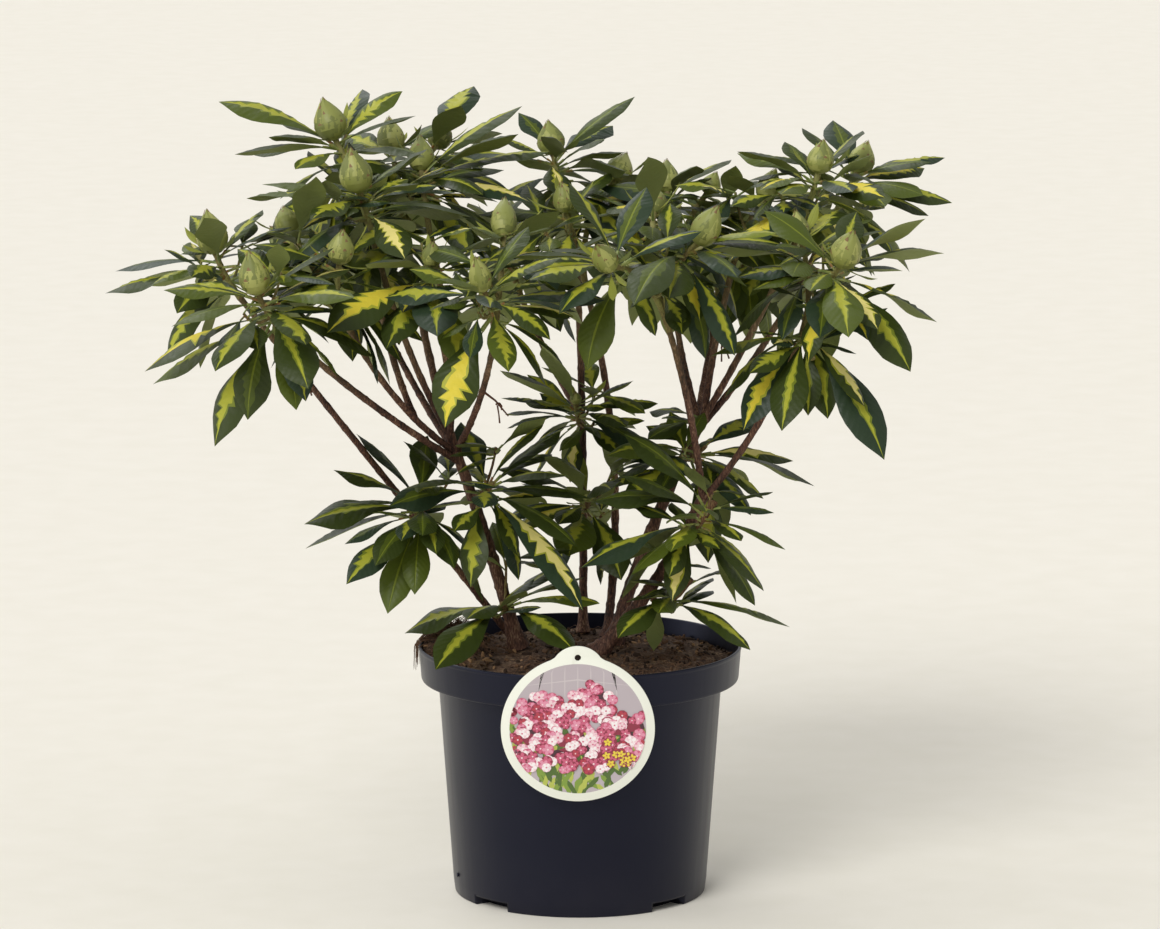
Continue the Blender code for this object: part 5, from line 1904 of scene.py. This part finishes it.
PLAIN_ROW = (0.66, 0.33, 0.33, 0.66)
TEST_ROWS = 15  # a coarse leaf is enough to test for room
PLAIN_FLAMES = [PLAIN_ROW] * TEST_ROWS
ROW_POINTS = 8  # seven above and one below the midrib
print(f"a leaf has {GROWN_ROWS} or {ADDED_ROWS} rows of {ROW_POINTS} points")

# %% [markdown]
# The solids' leaves are few, to keep them light. More leaves fill in between: extra whorls lower on
# each shoot, a small whorl on each side twig, and narrow young leaves that stand round the buds. Each
# new leaf is tried against those already there, and only one with room is kept. A physics run could
# push the leaves apart instead, but it would move the crown's outline.

# %% Try more leaves
EXTRA_WHORL = 8  # leaves added to each shoot
SIDE_WHORL = 5  # leaves on each side twig
EXTRA_TRIES = 5
NEW_MARGIN = 0.7  # mm of room a new leaf keeps

standing = []  # each leaf's box and surface


def test_surface(leaf, margin):
    """Two sheets, margin above and below a leaf's blade, with their box."""
    points, _ = leaf_points(leaf, PLAIN_FLAMES)
    midrib, side = leaf_frame(leaf)
    lift = side.cross(midrib.heading(0.5)).normalized() * margin
    count = len(points)
    points = [point + lift for point in points] + [point - lift for point in points]
    faces = []
    for row in range(1, TEST_ROWS - 1, 2):
        for left, right in ((0, 3), (3, 6)):
            near = row * ROW_POINTS
            far = min(row + 2, TEST_ROWS - 1) * ROW_POINTS
            faces.append((near + left, near + right, far + right, far + left))
    faces += [tuple(count + i for i in face) for face in faces]
    low = [min(point[i] for point in points) for i in range(3)]
    high = [max(point[i] for point in points) for i in range(3)]
    return low, high, BVHTree.FromPolygons(points, faces)


def is_free(box):
    """True if the tested blade cuts no leaf that stands already."""
    low, high, surface = box
    for other_low, other_high, other in standing:
        if any(low[i] > other_high[i] or high[i] < other_low[i] for i in range(3)):
            continue
        if surface.overlap(other):
            return False
    return True


def inside(leaf):
    """True if a new leaf stays within the solids' own reach and over the pot's side."""
    tip = leaf["tip"] * MM
    return all(cad_box[0][i] < tip[i] < cad_box[1][i] for i in range(3)) and tip.z > 0.21


for leaf in leaves:
    standing.append(test_surface(leaf, 0.1))
for stem in (*STEMS, *BOUGHS):
    solid = bpy.data.objects[stem]
    corners = [solid.matrix_world @ point.co / MM for point in solid.data.vertices]
    low = [min(point[i] for point in corners) for i in range(3)]
    high = [max(point[i] for point in corners) for i in range(3)]
    polygons = [tuple(face.vertices) for face in solid.data.polygons]
    standing.append((low, high, BVHTree.FromPolygons(corners, polygons)))


def keep_if_free(tries, **facts):
    """Keeps the first of some tries that has room."""
    for leaf in tries:
        if not inside(leaf):
            continue
        box = test_surface(leaf, NEW_MARGIN)
        if is_free(box):
            standing.append(box)
            leaves.append(dict(leaf, **facts))
            return True
    return False


def filling_leaf(name, number, attempt, spec, twig):
    """A leaf between those of the whorl, lower on the twig and a little shorter."""
    dice = random.Random(f"{name} fill {number} {attempt}")
    turn = (number + 0.5) * GOLDEN_ANGLE + attempt * 0.9 + dice.uniform(-0.4, 0.4)
    age = (number + 0.5) / EXTRA_WHORL
    rise = math.radians(24 - 74 * age + dice.uniform(-14, 14))
    length = LEAF_LENGTH * spec["lengths"] * dice.uniform(0.66, 0.92)
    axis = (twig.heading(1) * 0.4 + UP * 0.6).normalized()
    side, other = square_to(axis)
    level = side * math.cos(turn) + other * math.sin(turn)
    start = twig.at(max(0.15, 1 - (8 + 30 * age) / twig.length))
    tip = start + (level * math.cos(rise) + axis * math.sin(rise)) * length
    return leaf_between(twig, 8 + 26 * age, tip, dice, 0.06 + 0.05 * age)


def small_leaf(name, number, attempt, small):
    """One of the few leaves at the end of a side twig."""
    dice = random.Random(f"{name} small {number} {attempt}")
    turn = number * GOLDEN_ANGLE + attempt * 0.8 + dice.uniform(-0.3, 0.3)
    rise = math.radians(dice.uniform(-25, 35))
    length = LEAF_LENGTH * dice.uniform(0.45, 0.66)
    axis = (small.heading(1) * 0.5 + UP * 0.5).normalized()
    side, other = square_to(axis)
    level = side * math.cos(turn) + other * math.sin(turn)
    tip = small.end + (level * math.cos(rise) + axis * math.sin(rise)) * length
    return leaf_between(small, 1.5 * number, tip, dice, 0.06)


def young_leaf(name, number, attempt, twig):
    """A narrow young leaf that rises beside the bud."""
    dice = random.Random(f"{name} young {number} {attempt}")
    turn = number * GOLDEN_ANGLE + attempt * 0.7
    rise = math.radians(dice.uniform(8, 50))
    length = dice.uniform(20, 34)
    axis = (twig.heading(1) * 0.6 + UP * 0.4).normalized()
    side, other = square_to(axis)
    level = side * math.cos(turn) + other * math.sin(turn)
    start = twig.at(1 - 1.5 / twig.length) + level * 1.5
    tip = start + (level * math.cos(rise) + axis * math.sin(rise)) * length
    leaf = leaf_between(twig, 1.5, tip, dice, -0.07)
    leaf["width"] = length * dice.uniform(0.17, 0.24)
    return leaf


YOUNG_LEAVES = 4
for name, mass in masses.items():
    for order, (spec, twig) in enumerate(zip(mass["shoots"], twigs[name])):
        key = f"{name} {order}"
        for number in range(YOUNG_LEAVES if spec["bud"] else 0):
            tries = [young_leaf(key, number, i, twig) for i in range(3)]
            keep_if_free(tries, spray=key, age=0.0, kind="young")
        for which, small in enumerate(side_twigs[name][order]):
            for number in range(SIDE_WHORL):
                tries = [small_leaf(f"{key} {which}", number, i, small) for i in range(EXTRA_TRIES)]
                keep_if_free(tries, spray=f"{key} {which}", age=0.3, kind="grown")
        for number in range(EXTRA_WHORL):
            tries = [filling_leaf(key, number, i, spec, twig) for i in range(EXTRA_TRIES)]
            keep_if_free(tries, spray=key, age=(number + 0.5) / EXTRA_WHORL, kind="grown")
print(f"{len(leaves)} leaves in all")

# %% [markdown]
# This is a variegated shrub. Its leaves are dark green at the edge and carry a jagged flame of lime,
# yellow or cream along the midrib, which runs out along the side veins. A picture on the leaf could
# show that, but here the flame is cut into the leaf's own mesh: two lines of points on either side
# of the midrib swing out along a vein and back again, row by row. Each strip between two lines has a
# plain finish of its own.

# %% Mix the leaf colours
LEAF_COLOURS = {
    # name: (colour, roughness)
    "leaf_dark_bluish": ("#2c3b28", 0.36),
    "leaf_dark": ("#354017", 0.39),
    "leaf_mid": ("#4d591b", 0.41),
    "leaf_fresh": ("#727c26", 0.43),
    "leaf_lime": ("#a5a634", 0.45),
    "leaf_yellow": ("#d8c63c", 0.47),
    "leaf_cream": ("#e8da84", 0.49),
    "leaf_underside": ("#808a50", 0.6),
    "leaf_young": ("#8b903c", 0.45),
}
VEINS = 15  # pairs of side veins on a leaf
VEIN_RISE = 0.32  # a vein reaches this share of the leaf's length further at the edge


def mix_leaf(name, colour, roughness):
    """A leathery leaf. Its veins stand in slight relief, and fine wax breaks up its gloss."""
    made, tree, shader = start_material(name, colour, roughness, Specular_IOR_Level=0.25)
    flat = add_node(tree, "ShaderNodeUVMap", uv_map="leaf")
    place = add_node(tree, "ShaderNodeTexCoord", out="Object")
    across = add_node(tree, "ShaderNodeSeparateXYZ", {0: flat}, out="X")
    centred = add_node(tree, "ShaderNodeMath", {0: across, 1: 0.5}, operation="SUBTRACT")
    aside = add_node(tree, "ShaderNodeMath", {0: centred}, operation="ABSOLUTE")
    along = add_node(tree, "ShaderNodeSeparateXYZ", {0: flat}, out="Y")
    slanted = add_node(
        tree, "ShaderNodeMath", {0: aside, 1: -VEIN_RISE, 2: along}, operation="MULTIPLY_ADD"
    )
    phase = add_node(tree, "ShaderNodeMath", {0: slanted, 1: VEINS * math.tau}, operation="MULTIPLY")
    wave = add_node(tree, "ShaderNodeMath", {0: phase}, operation="SINE")
    blister = add_node(
        tree, "ShaderNodeTexNoise", {"Vector": place, "Scale": per_mm(3.2), "Detail": 3}
    )
    height = add_node(
        tree, "ShaderNodeMath", {0: wave, 1: 0.16, 2: blister}, operation="MULTIPLY_ADD"
    )
    veined = add_node(
        tree, "ShaderNodeBump", {"Height": height, "Distance": 0.5 * MM, "Strength": 0.5}
    )
    tree.links.new(veined, shader.inputs["Normal"])
    wax = add_node(tree, "ShaderNodeTexNoise", {"Vector": place, "Scale": per_mm(8), "Detail": 3})
    waxed = add_node(
        tree,
        "ShaderNodeMapRange",
        {"Value": wax, "To Min": roughness - 0.08, "To Max": roughness + 0.14},
    )
    tree.links.new(waxed, shader.inputs["Roughness"])
    return made


leaf_finishes = [mix_leaf(name, *values) for name, values in LEAF_COLOURS.items()]
LEAF_SLOT = {name: number for number, name in enumerate(LEAF_COLOURS)}
print(len(leaf_finishes), "leaf finishes")

# %% [markdown]
# Each leaf draws its pattern by lot, and sprays differ too, as on the plant, where one branch is
# nearly all green and its neighbour bright. In a flame every second row swings out, so it looks torn
# along the veins. Plain leaves keep a lighter band by the midrib.

# %% Draw the flames
SPRAY_TONES = {
    # plain, streaked, flamed and bright leaves out of a hundred
    "green": (50, 34, 12, 4),
    "lime": (26, 40, 26, 8),
    "bright": (16, 32, 34, 18),
}
PATTERNS = {
    # name: (inner colour, next colour, inner reach, spare to the next)
    "plain": ("leaf_fresh", "leaf_mid", (0.0, 0.02), (0.2, 0.5)),
    "streaked": ("leaf_lime", "leaf_fresh", (0.08, 0.26), (0.08, 0.16)),
    "flamed": ("leaf_lime", "leaf_fresh", (0.26, 0.5), (0.06, 0.24)),
    "bright": ("leaf_yellow", "leaf_lime", (0.24, 0.5), (0.06, 0.24)),
    "pale": ("leaf_lime", "leaf_young", (0.1, 0.3), (0.4, 0.6)),
}
GROUNDS = ("leaf_dark_bluish", "leaf_dark", "leaf_dark", "leaf_dark", "leaf_mid")
LONG_TEETH = (0.8, 1.1, 1.4, 1.9)  # how far a flame swings out in every second row, by lot
SHORT_TEETH = (0.15, 0.35, 0.6, 0.9)  # and in the rows between


def leaf_pattern(leaf, number):
    """A leaf's three colours from the midrib outward, and its flames' rows."""
    dice = random.Random(f"{leaf['spray']} look {number}")
    tone = random.Random(leaf["spray"]).choices(list(SPRAY_TONES), weights=(3, 5, 4))[0]
    pattern = dice.choices(list(PATTERNS)[:4], weights=SPRAY_TONES[tone])[0]
    ground = dice.choice(GROUNDS)
    if leaf.get("look"):
        pattern, ground = leaf["look"]
    inner, outer, reach, spare = PATTERNS[pattern]
    if leaf["kind"] == "young":
        inner, outer, ground = "leaf_young", "leaf_young", "leaf_young"
    if pattern == "bright" and dice.random() < 0.3:
        inner = "leaf_cream"
    widest = dice.uniform(*reach)
    middle = dice.uniform(0.35, 0.6)
    rows = []
    count = GROWN_ROWS if "look" in leaf else ADDED_ROWS
    for row in range(count):
        share = row / (count - 1)
        swell = math.exp(-(((share - middle) / 0.34) ** 2))
        ends = []
        for hand in (0, 1):
            tooth = dice.choice(LONG_TEETH if (row + hand) % 2 else SHORT_TEETH)
            near = min(0.75, 0.045 + widest * swell * tooth)
            far = min(0.9, near + dice.uniform(*spare) * (0.4 + 0.6 * swell))
            ends.append((near, far))
        (left_near, left_far), (right_near, right_far) = ends
        rows.append((left_far, left_near, right_near, right_far))
    return (inner, outer or ground, ground), rows


def leaf_faces(colours, count):
    """The faces of a blade of count rows as (corners, finish): six strips above and two below."""
    inner, outer, ground = colours
    strips = (ground, outer, inner, inner, outer, ground)
    made = []
    for row in range(count - 1):
        near, far = row * ROW_POINTS, (row + 1) * ROW_POINTS
        for column, finish in enumerate(strips):
            made.append(((near + column, near + column + 1, far + column + 1, far + column), finish))
        made.append(((near, far, far + 7, near + 7), "leaf_underside"))
        made.append(((near + 7, far + 7, far + 6, near + 6), "leaf_underside"))
    return made


# %% [markdown]
# A thousand separate objects would be slow to handle. The leaves are joined from arrays instead, in
# one mesh for either half of the crown and one for the side shoots. Each leaf also gets its own place
# on a flat map, which its vein relief follows.

# %% Join the leaves
def join_leaves(chosen, name):
    """Many leaves in one mesh, made from arrays, with a finish for each face and a flat UV."""
    points, faces, finishes, flats = [], [], [], []
    for number, leaf in enumerate(chosen):
        dice = random.Random(f"{leaf['spray']} bend {number}")
        leaf["twist"] = dice.uniform(-0.5, 0.5)
        leaf["wave"] = dice.uniform(0.01, 0.09)
        colours, flames = leaf_pattern(leaf, number)
        blade, flat = leaf_points(leaf, flames)
        first = len(points)
        points += blade
        for corners, finish in leaf_faces(colours, len(flames)):
            faces.append([first + corner for corner in corners])
            finishes.append(LEAF_SLOT[finish])
            flats += [flat[corner] for corner in corners]
    data = bpy.data.meshes.new(name)
    data.from_pydata([point * MM for point in points], [], faces)
    data.polygons.foreach_set("material_index", finishes)
    flat_map = data.uv_layers.new(name="leaf")
    flat_map.data.foreach_set("uv", np.array(flats, dtype=np.float32).ravel())
    return finished(name, data, leaf_finishes, smooth_degrees=60)


LEFT_CROWN = [name for name in CROWN if "left" in name]
RIGHT_CROWN = [name for name in CROWN if "left" not in name]
LEAF_PIECES = {
    "crown_leaves_left": LEFT_CROWN,
    "crown_leaves_right": RIGHT_CROWN,
    "side_leaves": list(SIDE_SHOOTS),
}
for name, kinds in LEAF_PIECES.items():
    chosen = [leaf for leaf in leaves if leaf["spray"].split()[0] in kinds]
    blades = join_leaves(chosen, name)
    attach(blades, "root")
    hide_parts(*kinds)
    print(f"{name}: {len(chosen)} leaves, {triangles(blades)} triangles")

# %% [markdown]
# A leaf's stalk is stout, about two millimetres thick, yellow-green and often flushed with red. It
# runs from the twig's middle to the foot of the blade. Swept rings do for it as they did for twigs.

# %% Grow the leaf stalks
STALK_RADIUS = 1.05
FULL_WIDTH = 26  # mm of a leaf whose stalk has that radius
stalk_shape = bmesh.new()
for number, leaf in enumerate(leaves):
    size = STALK_RADIUS * min(1.0, leaf["width"] / FULL_WIDTH)
    midrib, _ = leaf_frame(leaf)
    end = BLADE_FOOT + 0.04
    stalk = Arc(midrib.at(0), midrib.at(end / 2), midrib.at(end), (1, 1))
    sweep(stalk_shape, stalk, lambda along, size=size: size, 6, 4, 0.05, number, blunt=0.2)
stalk_skin, tree, shader = start_material("leaf_stalk_smooth", "#8f9850", 0.45)
place = add_node(tree, "ShaderNodeTexCoord", out="Object")
blush = add_node(tree, "ShaderNodeTexNoise", {"Vector": place, "Scale": per_mm(9)})
stalk_colour = add_node(
    tree,
    "ShaderNodeValToRGB",
    {0: blush},
    stops=[(0.4, "#6c7a3c"), (0.56, "#949b52"), (0.68, "#96683c")],
)
tree.links.new(stalk_colour, shader.inputs["Base Color"])
stalk_piece = object_from("leaf_stalks", stalk_shape, [stalk_skin], smooth_degrees=60)
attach(stalk_piece, "root")
print(f"{triangles(stalk_piece)} stalk triangles")

# %% [markdown]
# ## Buds
#
# The flower buds are closed tight for the winter: fat, pointed, and wrapped in overlapping scales.
# Each scale is a small bent shield. Cutting the scales into a turned bud would blur their edges, so
# every scale is its own small sheet, laid on the bud in a spiral at the golden angle. The lower ones
# stand off a little, with brown tips, and the upper ones close over the point.

# %% Wrap the buds
SCALES = 24
SCALE_GRID = (5, 7)  # points across and along
BUD_OUTLINE = (
    # share of the bud's height, share of its widest
    (0.0, 0.4),
    (0.1, 0.78),
    (0.26, 0.98),
    (0.4, 1.0),
    (0.56, 0.86),
    (0.7, 0.62),
    (0.82, 0.36),
    (0.92, 0.15),
    (1.0, 0.03),
)
BUD_GREENS = {
    "bud_scale_green": ("#8a8f4a", 0.44),
    "bud_scale_pale": ("#a2a45c", 0.42),
    "bud_scale_dull": ("#757b40", 0.5),
    "bud_scale_brown": ("#7e6440", 0.6),
}


def bud_width(share):
    """The bud's radius at a share of its height, as a share of its widest."""
    for (low, thin), (high, thick) in zip(BUD_OUTLINE, BUD_OUTLINE[1:]):
        if share <= high:
            return thin + (thick - thin) * (share - low) / (high - low)
    return BUD_OUTLINE[-1][1]


def mix_scale(name, colour, roughness):
    made, tree, shader = start_material(name, colour, roughness, Specular_IOR_Level=0.4)
    place = add_node(tree, "ShaderNodeTexCoord", out="Object")
    down = add_node(tree, "ShaderNodeTexNoise", {"Vector": place, "Scale": per_mm(1.1), "Detail": 3})
    downy = add_node(tree, "ShaderNodeBump", {"Height": down, "Distance": 0.2 * MM, "Strength": 0.6})
    tree.links.new(downy, shader.inputs["Normal"])
    patch = add_node(tree, "ShaderNodeTexNoise", {"Vector": place, "Scale": per_mm(5)})
    dulled = add_node(
        tree,
        "ShaderNodeMapRange",
        {"Value": patch, "To Min": roughness - 0.08, "To Max": roughness + 0.12},
    )
    tree.links.new(dulled, shader.inputs["Roughness"])
    return made


bud_points, bud_faces, bud_finish_of = [], [], []
bud_names = list(BUD_GREENS)


def add_sheet(grid, finish_of_row):
    """Adds a grid of points as faces. finish_of_row gives each row's finish."""
    first = len(bud_points)
    across = len(grid[0])
    for row in grid:
        bud_points.extend(row)
    for r in range(len(grid) - 1):
        for c in range(across - 1):
            a = first + r * across + c
            bud_faces.append((a, a + 1, a + across + 1, a + across))
            bud_finish_of.append(bud_names.index(finish_of_row(r)))


def add_bud(name, twig, length, radius):
    """A core with scales laid on it from the foot up."""
    dice = random.Random(f"{name} bud")
    axis = (twig.heading(1) * (1 - BUD_UPRIGHT) + UP * BUD_UPRIGHT).normalized()
    foot = twig.end - axis * BUD_SUNK
    side, other = square_to(axis)

    def on_bud(turn, share, off):
        reach = radius * bud_width(share) + off
        out = side * math.cos(turn) + other * math.sin(turn)
        return foot + axis * (length * share) + out * reach

    core_steps, core_sides = 8, 12
    core = []
    for i in range(core_steps + 1):
        row = [on_bud(math.tau * k / core_sides, i / core_steps, -0.5) for k in range(core_sides + 1)]
        core.append(row)
    add_sheet(core, lambda row: "bud_scale_green")
    for number in range(SCALES):
        up = number / (SCALES - 1)
        base = 0.5 * up
        tall = 0.36 + 0.14 * up
        half = (0.8 + 0.15 * up) * dice.uniform(0.92, 1.08)
        turn = number * GOLDEN_ANGLE + dice.uniform(-0.06, 0.06)
        lift = 0.15 + 0.7 * (1 - up) ** 2 * dice.random() ** 2
        ground = dice.choice(("bud_scale_green", "bud_scale_green", "bud_scale_pale", "bud_scale_dull"))
        brown_rows = dice.choice((0, 0, 1)) if 0.1 < up < 0.9 else 1
        grid = []
        for i in range(SCALE_GRID[1]):
            along = i / (SCALE_GRID[1] - 1)
            wide = half * (1 - along**2.2) ** 0.75 + 0.012
            share = min(1.0, base + tall * along)
            off = 0.1 + lift * along**2 + 0.02 * number * (1 - 0.6 * along)
            row = []
            for k in range(SCALE_GRID[0]):
                across = 2 * k / (SCALE_GRID[0] - 1) - 1
                row.append(on_bud(turn + across * wide, share, off - 0.35 * across**2))
            grid.append(row)

        def finish_of_row(row, ground=ground, brown_rows=brown_rows):
            return "bud_scale_brown" if row >= SCALE_GRID[1] - 1 - brown_rows else ground

        add_sheet(grid, finish_of_row)


bud_count = 0
for name, mass in masses.items():
    for order, (spec, twig) in enumerate(zip(mass["shoots"], twigs[name])):
        if spec["bud"]:
            bud_count += 1
            add_bud(f"{name} {order}", twig, *spec["bud"])
bud_data = bpy.data.meshes.new("buds")
bud_data.from_pydata([point * MM for point in bud_points], [], bud_faces)
bud_data.polygons.foreach_set("material_index", bud_finish_of)
buds = finished(
    "buds", bud_data, [mix_scale(name, *values) for name, values in BUD_GREENS.items()], 50
)
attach(buds, "root")
print(f"{bud_count} buds, {triangles(buds)} triangles")

# %% [markdown]
# ## Measure and finish
#
# The dressed plant must still fill the solids' own box, no more and no less.

# %% Compare the boxes and finish
dressed_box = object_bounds()
boxes = {
    "solids": [[float(value) for value in corner] for corner in cad_box],
    "dressed": [[float(value) for value in corner] for corner in dressed_box],
}
for label, (low, high) in boxes.items():
    print(label, [round((high[i] - low[i]) / MM) for i in range(3)], "mm")
